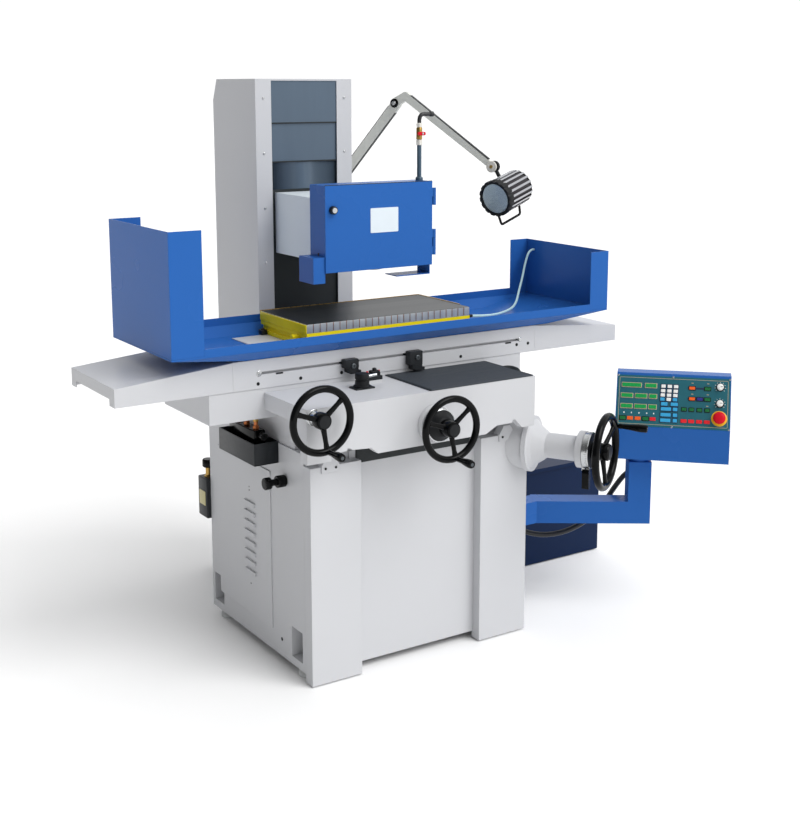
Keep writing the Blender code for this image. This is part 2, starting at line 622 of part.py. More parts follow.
# ---- saddle -------------------------------------------------------------------------
def saddle():
    low = BASE_TOP + GAP
    made = box("saddle_casting", (SADDLE_LEFT, SADDLE_FRONT, low), (SADDLE_RIGHT, SADDLE_BACK, WING_LOW + 0.01))
    join(made, box("wings", (WING_LEFT, WING_FRONT, WING_LOW), (WING_RIGHT, WING_BACK, WING_TOP)))
    v_ridge = plate("table_v_way", [(-0.022, 0), (0.022, 0), (0.022, 0.004), (0, 0.020), (-0.022, 0.004)],
                    WING_RIGHT - WING_LEFT - 0.010, ((WING_LEFT + WING_RIGHT) / 2, 0.245, WING_TOP - 0.004),
                    RIGHT, BACK)
    flat = box("table_flat_way", (WING_LEFT + 0.005, 0.430, WING_TOP - 0.004),
               (WING_RIGHT - 0.005, 0.474, WING_TOP + 0.010))
    join(made, v_ridge, flat)
    half = WAY_WIDTH / 2 + GAP
    groove = plate("v_groove", [(-half, -0.02), (half, -0.02), (half, 0.020 + GAP),
                                (0, V_WAY_TOP - BASE_TOP + 0.0055), (-half, 0.020 + GAP)], 0.9,
                   (V_WAY_X, 0.350, BASE_TOP - 0.005), FRONT, RIGHT)
    cut(made, groove, box("flat_groove", (FLAT_WAY_X - half, 0.05, low - 0.03),
                          (FLAT_WAY_X + half, 0.70, FLAT_WAY_TOP + GAP)))
    cut(made, box("right_relief", (FLAT_WAY_X + half + 0.015, 0.05, low - 0.02),
                  (SADDLE_RIGHT + 0.02, 0.70, FLANGE_TOP + 0.004)))
    cut(made, box("screw_channel", (CROSS_WHEEL.x - 0.036, 0.05, low - 0.02),
                  (CROSS_WHEEL.x + 0.036, 0.70, CROSS_WHEEL.z + 0.034)))
    for name, x0, x1 in (("saddle_pocket_left", V_WAY_X + 0.055, CROSS_WHEEL.x - 0.056),
                         ("saddle_pocket_right", CROSS_WHEEL.x + 0.056, FLAT_WAY_X - 0.055)):
        cut(made, box(name, (x0, SADDLE_FRONT + 0.030, low - 0.01), (x1, SADDLE_BACK - 0.030, WING_LOW - 0.012)))
    cut(made, rod("table_shaft_bore", (TABLE_WHEEL.x, WING_FRONT - 0.02, TABLE_WHEEL.z),
                  (TABLE_WHEEL.x, WING_FRONT + 0.060, TABLE_WHEEL.z), SHAFT_RADIUS + 0.0005))
    return finish(made, PAINT)


def apron():
    back = WING_FRONT - GAP
    made = box("saddle_apron", (APRON_LEFT, APRON_FRONT, APRON_LOW), (APRON_RIGHT, back, APRON_TOP))
    cut(made, box("apron_underside", (APRON_LEFT - 0.01, APRON_FRONT + APRON_SKIRT, APRON_LOW - 0.01),
                  (APRON_RIGHT + 0.01, SADDLE_FRONT + 0.010, V_WAY_TOP + 0.006)))
    cut(made, box("apron_back", (APRON_LEFT - 0.01, SADDLE_FRONT - GAP, APRON_LOW - 0.02),
                  (APRON_RIGHT + 0.01, back + 0.01, WING_LOW + 0.0103)))
    cut(made, box("apron_left_cutout", (APRON_LEFT - 0.02, 0.020, APRON_LOW - 0.03),
                  (SADDLE_LEFT + 0.01, back + 0.02, 0.812)))
    beside = (ELEVATING_FOOT.x - APRON_RIGHT) / math.cos(ELEVATING_ANGLE)
    flange_edge = ELEVATING_FOOT.z + math.sqrt(FLANGE_RADIUS**2 - beside**2)
    corner = max(0.002, flange_edge + 0.003 - APRON_LOW)
    notches = (("left", [(-0.372, -0.03), (-0.219, -0.03), (-0.219, 0), (-0.242, 0.019), (-0.304, 0.023),
                         (-0.313, 0.030), (-0.320, 0.030), (-0.322, 0.023), (-0.372, 0.019)]),
               ("right", [(0.166, -0.03), (0.360, -0.03), (0.360, corner), (0.304, corner), (0.283, 0.023),
                          (0.276, 0.031), (0.268, 0.031), (0.265, 0.022), (0.207, 0.021), (0.166, 0)]))
    for side, outline in notches:
        cut(made, plate(side + "_notch", outline, 0.120, (0, APRON_FRONT, APRON_LOW), FRONT, RIGHT))
    cut(made, rod("table_shaft_hole", (TABLE_WHEEL.x, APRON_FRONT - 0.01, TABLE_WHEEL.z),
                  (TABLE_WHEEL.x, back + 0.01, TABLE_WHEEL.z), SHAFT_RADIUS + 0.0005))
    cut(made, rod("cross_shaft_hole", (CROSS_WHEEL.x, APRON_FRONT - 0.01, CROSS_WHEEL.z),
                  (CROSS_WHEEL.x, back + 0.01, CROSS_WHEEL.z), SHAFT_RADIUS + 0.0005))
    for name, x0, x1 in (("apron_pocket_left", SADDLE_LEFT + 0.015, CROSS_WHEEL.x - 0.050),
                         ("apron_pocket_right", CROSS_WHEEL.x + 0.050, APRON_RIGHT - 0.012)):
        cut(made, box(name, (x0, APRON_FRONT + APRON_SKIRT - 0.010, APRON_LOW - 0.02),
                      (x1, SADDLE_FRONT - 0.012, APRON_TOP - 0.032)))
    lever_seat = rod("lever_hole", (LEVER.x, LEVER.y, APRON_TOP - 0.030), (LEVER.x, LEVER.y, APRON_TOP + 0.01),
                     0.0085, sides=16)
    cut(made, lever_seat)
    join(made, box("switch_base", (SWITCH.x - 0.022, SWITCH.y - 0.014, APRON_TOP - 0.002),
                   (SWITCH.x + 0.022, SWITCH.y + 0.014, APRON_TOP + SWITCH_BASE)))
    finish(made, PAINT)
    mat = box("apron_mat", (MAT_LEFT, APRON_FRONT + 0.003, APRON_TOP + GAP),
              (MAT_RIGHT, back - 0.002, APRON_TOP + GAP + MAT_THICK))
    finish(mat, RUBBER)
    return made, mat


LEVER = Vector((-0.180, 0.075, APRON_TOP))
SWITCH = Vector((-0.110, 0.125, APRON_TOP))
SWITCH_BASE = 0.008  # lies below the trip dogs' path


def reversing_lever():
    """The knob and lever that reverse the table, on a post in the apron's top."""
    profile = [(0, 0.046), (0.016, 0.046), (0.018, 0.043), (0.018, 0.020), (0.022, 0.014), (0.026, 0.004),
               (0.026, 0.0004), (0.008, 0.0004), (0.008, -0.024), (0, -0.024)]
    made = turned("reversing_lever", profile, LEVER, UP, 24)
    join(made, rod("lever_bar", LEVER + Vector((0, 0, 0.032)), LEVER + Vector((0.048, -0.004, 0.036)), 0.0055,
                   0.0045, 12))
    return finish(made, BLACK)


def table_cylinder():
    half = 0.450
    profile = [(CYLINDER_BORE, half), (CYLINDER_RADIUS, half), (CYLINDER_RADIUS, -half), (CYLINDER_BORE, -half),
               (CYLINDER_BORE, half)]
    made = turned("hydraulic_cylinder", profile, (0, CYLINDER_Y, CYLINDER_Z), RIGHT, 24)
    finish(made, STEEL)
    end = TABLE_END - COLUMN_SHEET - GAP
    piston = CYLINDER_BORE - 0.0004
    profile = [(0, end), (ROD_RADIUS, end), (ROD_RADIUS, 0.018), (piston, 0.018), (piston, -0.018),
               (ROD_RADIUS, -0.018), (ROD_RADIUS, -end), (0, -end)]
    ram = turned("piston_rod", profile, (0, CYLINDER_Y, CYLINDER_Z), RIGHT, 20)
    finish(ram, STEEL)
    return made, ram


# ---- table --------------------------------------------------------------------------
def table():
    made = box("table_casting", (-TABLE_HALF, TABLE_FRONT, TABLE_LOW), (TABLE_HALF, TABLE_BACK, TABLE_TOP))
    join(made, box("ground_pad", (-0.400, 0.205, TABLE_TOP - 0.002), (0.400, 0.490, PAD_TOP)))
    long = 2 * TABLE_HALF + 0.02
    cut(made, plate("table_v_groove", [(-0.0225, -0.01), (0.0225, -0.01), (0.0225, 0.0045), (0, 0.0207),
                                       (-0.0225, 0.0045)], long, (0, 0.245, WING_TOP - 0.004), RIGHT, BACK))
    cut(made, box("table_flat_groove", (-long / 2, 0.429, TABLE_LOW - 0.01), (long / 2, 0.475, WING_TOP + 0.0103)))
    width = CYLINDER_RADIUS + 0.006
    cut(made, box("cylinder_channel", (-long / 2, CYLINDER_Y - width, TABLE_LOW - 0.01),
                  (long / 2, CYLINDER_Y + width, CYLINDER_Z + CYLINDER_RADIUS + 0.002)))
    cut(made, box("dog_slot", (SLOT_LEFT, TABLE_FRONT - 0.01, SLOT_Z - SLOT_HALF),
                  (SLOT_RIGHT, TABLE_FRONT + SLOT_DEPTH, SLOT_Z + SLOT_HALF)))
    finish(made, PAINT)
    covers = []
    for side, name in ((-1, "way_cover_left"), (1, "way_cover_right")):
        inner, outer = TABLE_HALF + GAP, TABLE_END
        outline = [(inner, TABLE_LOW), (outer, TABLE_LOW), (outer, END_HIGH), (inner, TABLE_TOP - 0.001)]
        sheet = COLUMN_SHEET
        hollow = [(inner - 0.01, TABLE_LOW - 0.01), (outer - sheet, TABLE_LOW - 0.01),
                  (outer - sheet, END_HIGH - sheet), (inner - 0.01, TABLE_TOP - 0.001 - sheet + 0.0009)]
        middle = (TABLE_FRONT + WING_BACK + 0.018) / 2
        wide = WING_BACK + 0.018 - TABLE_FRONT
        points = [(side * u, v) for u, v in outline]
        cover = plate(name, points, wide, (0, middle, 0), FRONT, RIGHT)
        points = [(side * u, v) for u, v in hollow]
        cut(cover, plate(name + "_inside", points, wide - 2 * sheet, (0, middle, 0), FRONT, RIGHT))
        end = sorted((side * (outer - 0.02), side * (outer + 0.02)))
        cut(cover, box(name + "_way_notch", (end[0], 0.215, TABLE_LOW - 0.01), (end[1], 0.484, WING_TOP + 0.019)))
        covers.append(finish(cover, PAINT))
    return [made, *covers]


def trip_dog(name, x, low):
    top = SLOT_Z + 0.012
    made = box(name, (x - 0.030, TABLE_FRONT - 0.026, low), (x + 0.030, TABLE_FRONT - GAP, top))
    join(made, box(name + "_tongue", (x - 0.028, TABLE_FRONT - 0.002, SLOT_Z - SLOT_HALF + GAP),
                   (x + 0.028, TABLE_FRONT + SLOT_DEPTH - 0.001, SLOT_Z + SLOT_HALF - GAP)))
    cut(made, box(name + "_step", (x - 0.04, TABLE_FRONT - 0.03, low - 0.01), (x - 0.012, TABLE_FRONT - 0.010,
                                                                           low + 0.020)))
    return finish(made, BLACK)


def splash_tray():
    """A shallow sheet trough on the table, open at the ground pad, with a turned-down front and back."""
    low = TABLE_TOP + GAP
    foot = (-0.506, 0.178, 0.600, 0.536)
    head = (TRAY_LEFT, TRAY_FRONT, TRAY_RIGHT, TRAY_BACK)
    sheet = TRAY_SHEET
    made = tapered_box("splash_tray", foot, head, low, TRAY_EDGE)
    join(made, box("tray_rim", (TRAY_LEFT, TRAY_FRONT, TRAY_EDGE - 0.0005), (TRAY_RIGHT, TRAY_BACK, TRAY_RIM)))
    inner_foot = (foot[0] + sheet, foot[1] + sheet, foot[2] - sheet, foot[3] - sheet)
    inner_head = (head[0] + sheet, head[1] + sheet, head[2] - sheet, head[3] - sheet)
    cut(made, tapered_box("tray_inside", inner_foot, inner_head, low + sheet, TRAY_EDGE + 0.001))
    cut(made, box("tray_inside_rim", (inner_head[0], inner_head[1], TRAY_EDGE + 0.0006),
                  (inner_head[2], inner_head[3], TRAY_RIM + 0.01)))
    cut(made, box("tray_window", (-0.4005, 0.2045, low - 0.01), (0.4005, 0.4905, TRAY_EDGE)))
    cut(made, box("left_seat", (TRAY_LEFT - 0.01, TRAY_FRONT - 0.01, 1.0000), (TRAY_LEFT + LEFT_FLANGE + GAP,
                                                                            TRAY_BACK + 0.01, 1.05)))
    cut(made, box("right_seat", (TRAY_RIGHT - RIGHT_FLANGE - GAP, TRAY_FRONT - 0.01, 1.0000),
                  (TRAY_RIGHT + 0.01, TRAY_BACK + 0.01, 1.05)))
    return finish(made, BLUE)


def splash_guard(name, outer, flange, top):
    """A folded end guard: wall and two returned flanges."""
    sheet = TRAY_SHEET
    inner = outer + flange
    low = 1.0000 + GAP
    xs = sorted((outer, inner))
    made = box(name, (xs[0], TRAY_FRONT, low), (xs[1], TRAY_BACK, top))
    side = 1 if flange > 0 else -1
    hollow = sorted((outer + side * sheet, inner + side * 0.01))
    cut(made, box(name + "_inside", (hollow[0], TRAY_FRONT + sheet, low - 0.01),
                  (hollow[1], TRAY_BACK - sheet, top + 0.01)))
    return finish(made, BLUE)


def chuck():
    x0, x1 = CHUCK_LEFT, CHUCK_LEFT + CHUCK_LENGTH
    y0, y1 = CHUCK_FRONT, CHUCK_FRONT + CHUCK_WIDTH
    low = PAD_TOP + GAP
    waist = 0.006
    body = box("chuck_body", (x0, y0, low), (x1, y1, low + 0.012))
    join(body, box("chuck_waist", (x0 + waist, y0 + waist, low + 0.010), (x1 - waist, y1 - waist, 0.998)))
    join(body, box("chuck_flange", (x0, y0, 0.996), (x1, y1, CHUCK_PLATE_LOW - GAP)))
    join(body, rod("chuck_key", (x0 - 0.020, y0 + 0.060, 0.990), (x0 + 0.020, y0 + 0.060, 0.990), 0.011, sides=6))
    finish(body, YELLOW)
    pole = box("chuck_plate", (x0, y0, CHUCK_PLATE_LOW), (x1, y1, CHUCK_TOP))
    finish(pole, STEEL)
    return body, pole


CHUCK_CABLE = [(0.3203, 0.262, 1.000), (0.350, 0.262, 1.000), (0.400, 0.262, 0.996), (0.450, 0.275, 0.992),
               (0.520, 0.310, 0.989), (0.600, 0.365, 0.989), (0.670, 0.430, 0.996), (0.720, 0.480, 1.020),
               (0.757, 0.508, 1.065), (0.778, 0.520, 1.110), (0.794, 0.524, 1.145), (0.808, 0.524, 1.158),
               (0.8215, 0.524, 1.160)]


def chuck_cable():
    return finish(tube("chuck_cable", smooth_route(CHUCK_CABLE, 56), 0.0040), CABLE)


# ---- head ---------------------------------------------------------------------------
def wheelhead():
    slide_back = CASTING_FRONT - GAP
    neck_back = slide_back - 0.010
    made = box("wheelhead_casting", (-HEAD_HALF, HEAD_FRONT, HEAD_LOW), (HEAD_HALF, neck_back, HEAD_HIGH))
    plate_front = COLUMN_FRONT + COLUMN_SHEET + GAP + 3 * PLATE_STEP
    join(made, box("slide_plate", (-0.120, plate_front, HEAD_LOW - 0.030), (0.120, slide_back, HEAD_HIGH + 0.030)))
    nut_low, nut_high = WHEEL_Z - 0.050, WHEEL_Z + 0.050
    nut_front = SCREW_Y - 0.030
    join(made, box("nut_bracket", (-0.040, slide_back - 0.005, nut_low), (0.040, nut_front + 0.010, nut_high)))
    join(made, rod("elevating_nut", (0, SCREW_Y, nut_low - 0.004), (0, SCREW_Y, nut_high + 0.004), 0.030, sides=24))
    cut(made, rod("nut_bore", (0, SCREW_Y, nut_low - 0.02), (0, SCREW_Y, nut_high + 0.02), SCREW_RADIUS + 0.0006))
    cut(made, rod("cartridge_bore", (0, HEAD_FRONT - 0.01, WHEEL_Z), (0, 0.720, WHEEL_Z),
                  CARTRIDGE_RADIUS + GAP, sides=32))
    finish(made, GREY)

    curtain = way_plate("head_curtain", 2, 0.840, 1.557, SLATE)
    cut(curtain, box("curtain_window", (-HEAD_HALF - GAP, COLUMN_FRONT - 0.01, HEAD_LOW - GAP),
                     (HEAD_HALF + GAP, COLUMN_FRONT + 0.05, HEAD_HIGH + GAP)))
    bearing = SPINDLE_RADIUS + 0.0005
    cartridge = turned("spindle_cartridge", [(bearing, 0.005), (0.046, 0.005), (0.050, 0),
                                             (CARTRIDGE_RADIUS, 0), (CARTRIDGE_RADIUS, -0.330), (0.042, -0.330),
                                             (0.042, -0.196), (bearing, -0.192), (bearing, 0.005)], (0, HEAD_FRONT, WHEEL_Z), FRONT, 32)
    finish(cartridge, STEEL)
    return made, curtain, cartridge


def spindle():
    """Shaft with the wheel's clamp flanges and the motor's rotor, and the grinding wheel."""
    out = WHEEL_Y
    half = WHEEL_WIDTH / 2
    bore = 0.038
    profile = [(0, half + 0.019), (0.014, half + 0.019), (0.014, half + 0.014), (0.044, half + 0.012),
               (0.050, half + 0.004), (0.050, half + GAP), (bore, half + GAP), (bore, -half - GAP),
               (0.055, -half - GAP), (0.055, -half - 0.010), (SPINDLE_RADIUS, -half - 0.014),
               (SPINDLE_RADIUS, -0.260), (0.040, -0.262), (0.040, -0.380), (SPINDLE_RADIUS, -0.382),
               (SPINDLE_RADIUS, -0.405), (0, -0.405)]
    shaft = turned("spindle_shaft", profile, (0, out, WHEEL_Z), FRONT, 32)
    finish(shaft, STEEL)
    wheel_bore = bore + GAP
    wheel = turned("grinding_wheel", [(wheel_bore, half), (WHEEL_RADIUS, half), (WHEEL_RADIUS, -half),
                                      (wheel_bore, -half), (wheel_bore, half)], (0, out, WHEEL_Z), FRONT, 48)
    finish(wheel, ABRASIVE)
    return shaft, wheel


DOOR_HINGE = Vector((GUARD_HALF + 0.0065, GUARD_FRONT - 0.003, 0))


def knuckle(name, low, high):
    return rod(name, (DOOR_HINGE.x, DOOR_HINGE.y, low), (DOOR_HINGE.x, DOOR_HINGE.y, high), HINGE_RADIUS, sides=16)


def wheel_guard():
    sheet = GUARD_SHEET
    made = box("wheel_guard", (-GUARD_HALF, GUARD_FRONT, GUARD_LOW), (GUARD_HALF, GUARD_BACK, GUARD_HIGH))
    cut(made, box("guard_inside", (-GUARD_HALF + sheet, GUARD_FRONT - 0.01, GUARD_LOW - 0.01),
                  (GUARD_HALF - sheet, GUARD_BACK - sheet, GUARD_HIGH - sheet)))
    cut(made, rod("spindle_hole", (0, GUARD_BACK - 0.02, WHEEL_Z), (0, GUARD_BACK + 0.01, WHEEL_Z), 0.070, sides=32))
    join(made, box("nozzle_box", (-GUARD_HALF - 0.040, GUARD_FRONT, 1.151), (-GUARD_HALF + 0.001, GUARD_BACK, 1.230)))
    join(made, box("tongue_hanger", (GUARD_HALF - sheet, GUARD_FRONT + 0.010, 1.150),
                   (GUARD_HALF - 0.0002, GUARD_BACK - 0.010, GUARD_LOW + 0.001)))
    join(made, box("tongue", (0.070, GUARD_FRONT + 0.010, 1.150), (GUARD_HALF - 0.001, GUARD_BACK - 0.010, 1.153)))
    arm = (GUARD_HALF - 0.001, GUARD_FRONT + 0.0005)
    for name, low in (("lower_knuckle", 1.2403), ("upper_knuckle", 1.3703)):
        join(made, knuckle(name, low, low + 0.0265))
        join(made, box(name + "_leaf", (arm[0], arm[1], low), (DOOR_HINGE.x, DOOR_HINGE.y + HINGE_RADIUS, low + 0.0265)))
    bolt = rod("guard_boss", (0, GUARD_BACK - 0.001, HEAD_LOW + 0.020), (0, HEAD_FRONT - GAP, HEAD_LOW + 0.020),
               0.012, sides=12)
    join(made, bolt)
    boss = rod("guard_boss_top", (0, GUARD_BACK - 0.001, HEAD_HIGH - 0.020), (0, HEAD_FRONT - GAP, HEAD_HIGH - 0.020),
               0.012, sides=12)
    join(made, boss)
    return finish(made, BLUE)


def guard_door():
    back = GUARD_FRONT - GAP
    made = box("guard_door", (-GUARD_HALF, back - DOOR_THICK, GUARD_LOW + 0.002),
               (GUARD_HALF - 0.002, back, GUARD_HIGH))
    for name, low in (("door_knuckle_low", 1.2130), ("door_knuckle_mid", 1.2670 + GAP),
                      ("door_knuckle_high", 1.3970 + GAP)):
        join(made, knuckle(name, low, low + 0.0270))
        join(made, box(name + "_leaf", (GUARD_HALF - 0.004, back - DOOR_THICK, low),
                       (DOOR_HINGE.x, back - 0.001, low + 0.0270)))
    cut(made, rod("latch_hole", (LATCH.x, back - 0.02, LATCH.z), (LATCH.x, back + 0.01, LATCH.z), 0.0055, sides=16))
    return finish(made, BLUE)


LATCH = Vector((-0.170, GUARD_FRONT - GAP - DOOR_THICK, 1.372))


def door_latch():
    profile = [(0, 0.016), (0.009, 0.016), (0.0125, 0.012), (0.0125, GAP), (0.005, GAP), (0.005, -0.010),
               (0, -0.010)]
    return finish(turned("door_latch", profile, LATCH, FRONT, 20), STEEL)


PIPE = Vector((0.176, 0.306, 0))
TAP_Z = GUARD_HIGH + 0.147


def coolant_pipe():
    """Riser, tap body and elbow of the coolant supply, as one assembly on the guard."""
    steps = [(0, 0.048), (0.0065, 0.048), (0.0065, 0.020), (0.0095, 0.017), (0.0095, -0.018), (0.0110, -0.020),
             (0.0110, -0.032), (0.0070, -0.034)]
    profile = [(radius, TAP_Z + rise) for radius, rise in steps]
    profile += [(0.0070, GUARD_HIGH + 0.011), (0.0120, GUARD_HIGH + 0.009),
                (0.0120, GUARD_HIGH + GAP), (0, GUARD_HIGH + GAP)]
    made = turned("coolant_pipe", profile, (PIPE.x, PIPE.y, 0), UP, 20)
    bend = [(0, 0, 0.040), (0, 0, 0.048), (0.003, 0, 0.055), (0.009, 0, 0.059), (0.018, 0, 0.060), (0.052, 0, 0.060)]
    join(made, solidified(tube("pipe_elbow", bend, 0.0060, 2, (PIPE.x, PIPE.y, TAP_Z))))
    join(made, rod("tap_seat", (PIPE.x, PIPE.y, TAP_Z), (PIPE.x, PIPE.y - 0.014, TAP_Z), 0.0060, sides=12))
    return finish(made, STEEL)


def tap_lever():
    y = PIPE.y - 0.014 - GAP
    made = box("tap_lever", (PIPE.x - 0.017, y - 0.006, TAP_Z - 0.0055), (PIPE.x + 0.012, y, TAP_Z + 0.0055))
    return finish(made, RED)


# ---- lamp ---------------------------------------------------------------------------
LAMP_SIDE = LAMP_HEADING.cross(UP) * -1.0  # the lamp joints' axis
ARM_THICK = 0.011


def lamp_pin(name, at):
    reach = ARM_THICK * 1.5 + 0.004
    return rod(name, at - reach * LAMP_SIDE, at + reach * LAMP_SIDE, 0.006, sides=16)


def lamp():
    """Swivel post, two arms and head. The lower arm lies beside the post, the upper one beside it."""
    shoulder = Vector((LAMP_FOOT.x, LAMP_FOOT.y, LAMP_SHOULDER_Z))
    swivel = pivot("lamp_swivel", LAMP_FOOT)
    post = turned("lamp_post", [(0, 0.012), (0.013, 0.012), (0.016, 0.008), (0.016, 0), (0, 0)], LAMP_FOOT, UP, 20)
    join(post, rod("post_eye", shoulder - LAMP_SIDE * ARM_THICK / 2, shoulder + LAMP_SIDE * ARM_THICK / 2, 0.017,
                   sides=20))
    join(post, rod("post_stem", LAMP_FOOT + 0.006 * UP, shoulder, ARM_THICK / 2, sides=12))
    join(post, rod("shoulder_pin", shoulder - LAMP_SIDE * ARM_THICK / 2, shoulder + LAMP_SIDE * ARM_THICK * 1.8,
                   0.006, sides=16))
    carry(swivel, finish(post, BLACK))

    lower = pivot("lamp_shoulder", shoulder, swivel)
    step = ARM_THICK + GAP * 2
    start, end = shoulder + step * LAMP_SIDE, LAMP_ELBOW + step * LAMP_SIDE
    along = (end - start).normalized()
    length = (end - start).length
    arm = capsule("lamp_lower_arm", start, along, length, 0.0175, 0.0175)
    cut(arm, rod("shoulder_hole", start - 0.02 * LAMP_SIDE, start + 0.02 * LAMP_SIDE, 0.0064, sides=16))
    join(arm, rod("elbow_pin", end - LAMP_SIDE * ARM_THICK * 1.9, end + LAMP_SIDE * 0.003, 0.006, sides=16))
    carry(lower, finish(arm, GREY))

    upper = pivot("lamp_elbow", LAMP_ELBOW, lower)
    start = LAMP_ELBOW
    knee = start + 0.042 * LAMP_HEADING + 0.024 * UP
    arm = capsule("lamp_upper_arm", start, (knee - start).normalized(), (knee - start).length, 0.0165, 0.014)
    away = LAMP_TILT - knee
    join(arm, capsule("upper_reach", knee, away.normalized(), away.length, 0.014, 0.010))
    cut(arm, rod("elbow_hole", start - 0.02 * LAMP_SIDE, start + 0.02 * LAMP_SIDE, 0.0064, sides=16))
    join(arm, rod("tilt_pin", LAMP_TILT, LAMP_TILT + LAMP_SIDE * ARM_THICK * 1.9, 0.006, sides=16))
    carry(upper, finish(arm, GREY))

    tilt = pivot("lamp_tilt", LAMP_TILT, upper)
    head = lamp_head(LAMP_TILT + step * LAMP_SIDE)
    carry(tilt, head)


def capsule(name, start, along, length, near, far):
    """A flat link with round ends of two radii, ARM_THICK thick."""
    outline = []
    for i in range(9):
        turn = math.radians(90 + 22.5 * i)
        outline.append((near * math.cos(turn), near * math.sin(turn)))
    for i in range(9):
        turn = math.radians(-90 + 22.5 * i)
        outline.append((length + far * math.cos(turn), far * math.sin(turn)))
    return plate(name, outline, ARM_THICK, start, LAMP_SIDE, along)


def lamp_head(eye):
    half = LAMP_LENGTH / 2
    r = LAMP_RADIUS
    profile = [(0, half - 0.030), (0.030, half - 0.026), (r - 0.006, half), (r, half), (r, half - 0.020),
               (r - 0.003, half - 0.022), (r - 0.003, -half + 0.012), (r - 0.014, -half), (0, -half)]
    made = turned("lamp_head", profile, LAMP_CENTRE, LAMP_AIM, 32)
    join(made, rod("head_eye", eye - LAMP_SIDE * ARM_THICK / 2, eye + LAMP_SIDE * ARM_THICK / 2, 0.019, sides=20))
    join(made, rod("head_stem", eye, LAMP_CENTRE, ARM_THICK / 2, sides=12))
    cut(made, rod("tilt_hole", eye - 0.02 * LAMP_SIDE, eye + 0.02 * LAMP_SIDE, 0.0064, sides=16))
    down = (-UP + LAMP_AIM * LAMP_AIM.dot(UP)).normalized()
    near, away = half - 0.010, -half + 0.030
    at = LAMP_CENTRE + down * (r - 0.006)
    drop = 0.040
    bail = [at + near * LAMP_AIM, at + (near - 0.010) * LAMP_AIM + (drop - 0.006) * down,
            at + (near - 0.016) * LAMP_AIM + drop * down, at + (away + 0.006) * LAMP_AIM + drop * down,
            at + away * LAMP_AIM + (drop - 0.006) * down, at + away * LAMP_AIM]
    join(made, solidified(tube("lamp_bail", bail, 0.0045)))
    return finish(made, STEEL)


# ---- console ------------------------------------------------------------------------
def turned_about_z(vector, angle):
    return Matrix.Rotation(angle, 3, "Z") @ Vector(vector)


def beam(name, start, heading, length, width, low, high):
    """A square tube lying flat, from start along heading."""
    outline = [(0, -width / 2), (length, -width / 2), (length, width / 2), (0, width / 2)]
    return plate(name, outline, high - low, Vector((start.x, start.y, (low + high) / 2)), UP, heading)


ARM_HEADING = Vector((math.cos(ARM_ANGLE), -math.sin(ARM_ANGLE), 0))
ARM_CORNER = Vector((ARM_CORNER_X, ARM_PIVOT.y, 0))
ARM_END = ARM_CORNER + ARM_REACH * ARM_HEADING
CONSOLE_ALONG = Vector((math.sqrt(0.5), -math.sqrt(0.5), 0))
CONSOLE_OUT = Vector((-math.sqrt(0.5), -math.sqrt(0.5), 0))


def console_arm():
    low, high = ARM_PIVOT.z, ARM_PIVOT.z + ARM_SECTION + 0.001
    half = ARM_SECTION / 2
    made = rod("console_arm", Vector((ARM_PIVOT.x, ARM_PIVOT.y, low)), Vector((ARM_PIVOT.x, ARM_PIVOT.y, high)),
               half - 0.004, sides=32)
    join(made, beam("arm_root", ARM_PIVOT, RIGHT, ARM_CORNER.x - ARM_PIVOT.x + 0.012, ARM_SECTION - 0.008,
                    low + 0.0002, high - 0.0002))
    join(made, beam("arm_reach", ARM_CORNER - 0.012 * ARM_HEADING, ARM_HEADING, ARM_REACH + half + 0.012,
                    ARM_SECTION, low, high))
    join(made, beam("arm_post", ARM_END - half * ARM_HEADING, ARM_HEADING, ARM_SECTION, ARM_SECTION - 0.0004,
                    low + 0.0004, POST_HIGH))
    cut(made, rod("arm_bore", Vector((ARM_PIVOT.x, ARM_PIVOT.y, low - 0.01)),
                  Vector((ARM_PIVOT.x, ARM_PIVOT.y, high + 0.01)), 0.0085))
    join(made, rod("conduit_gland", CONDUIT_END - GAP * BACKWARD, CONDUIT_END - 0.040 * BACKWARD, 0.015, sides=16))
    return finish(made, BLUE)


def console_box():
    post = ARM_END
    outline = [(-CONSOLE_HALF, CONSOLE_LOW), (CONSOLE_HALF, CONSOLE_LOW), (CONSOLE_HALF, CONSOLE_BEND),
               (0.0, CONSOLE_TOP), (-0.055, CONSOLE_TOP), (-CONSOLE_HALF, CONSOLE_TOP - 0.030)]
    middle = (CONSOLE_LEFT + CONSOLE_RIGHT) / 2
    made = plate("console_box", outline, CONSOLE_RIGHT - CONSOLE_LEFT,
                 post + middle * CONSOLE_ALONG, -CONSOLE_ALONG, CONSOLE_OUT)
    join(made, rod("swivel_flange", Vector((post.x, post.y, POST_HIGH + GAP)),
                   Vector((post.x, post.y, CONSOLE_LOW + 0.004)), 0.034, sides=24))
    sheet = 0.003
    skin = [(-CONSOLE_HALF + sheet, CONSOLE_LOW + sheet), (CONSOLE_HALF - sheet, CONSOLE_LOW + sheet),
            (CONSOLE_HALF - sheet, CONSOLE_BEND - 0.001), (-0.0165, CONSOLE_TOP - 0.035),
            (-CONSOLE_HALF + sheet, CONSOLE_TOP - 0.035)]
    cut(made, plate("console_inside", skin, CONSOLE_RIGHT - CONSOLE_LEFT - 2 * sheet,
                    post + middle * CONSOLE_ALONG, -CONSOLE_ALONG, CONSOLE_OUT))
    entry = post + 0.080 * CONSOLE_ALONG
    cut(made, rod("cable_entry", Vector((entry.x, entry.y, CONSOLE_LOW - 0.01)),
                  Vector((entry.x, entry.y, CONSOLE_LOW + 0.02)), 0.015))
    for name, s, rise, _radius in CONTROLS:
        place, normal = panel_place(s, rise)
        cut(made, rod(name + "_seat", place - 0.016 * normal, place + 0.010 * normal, 0.0068, sides=16))
    return finish(made, BLUE)


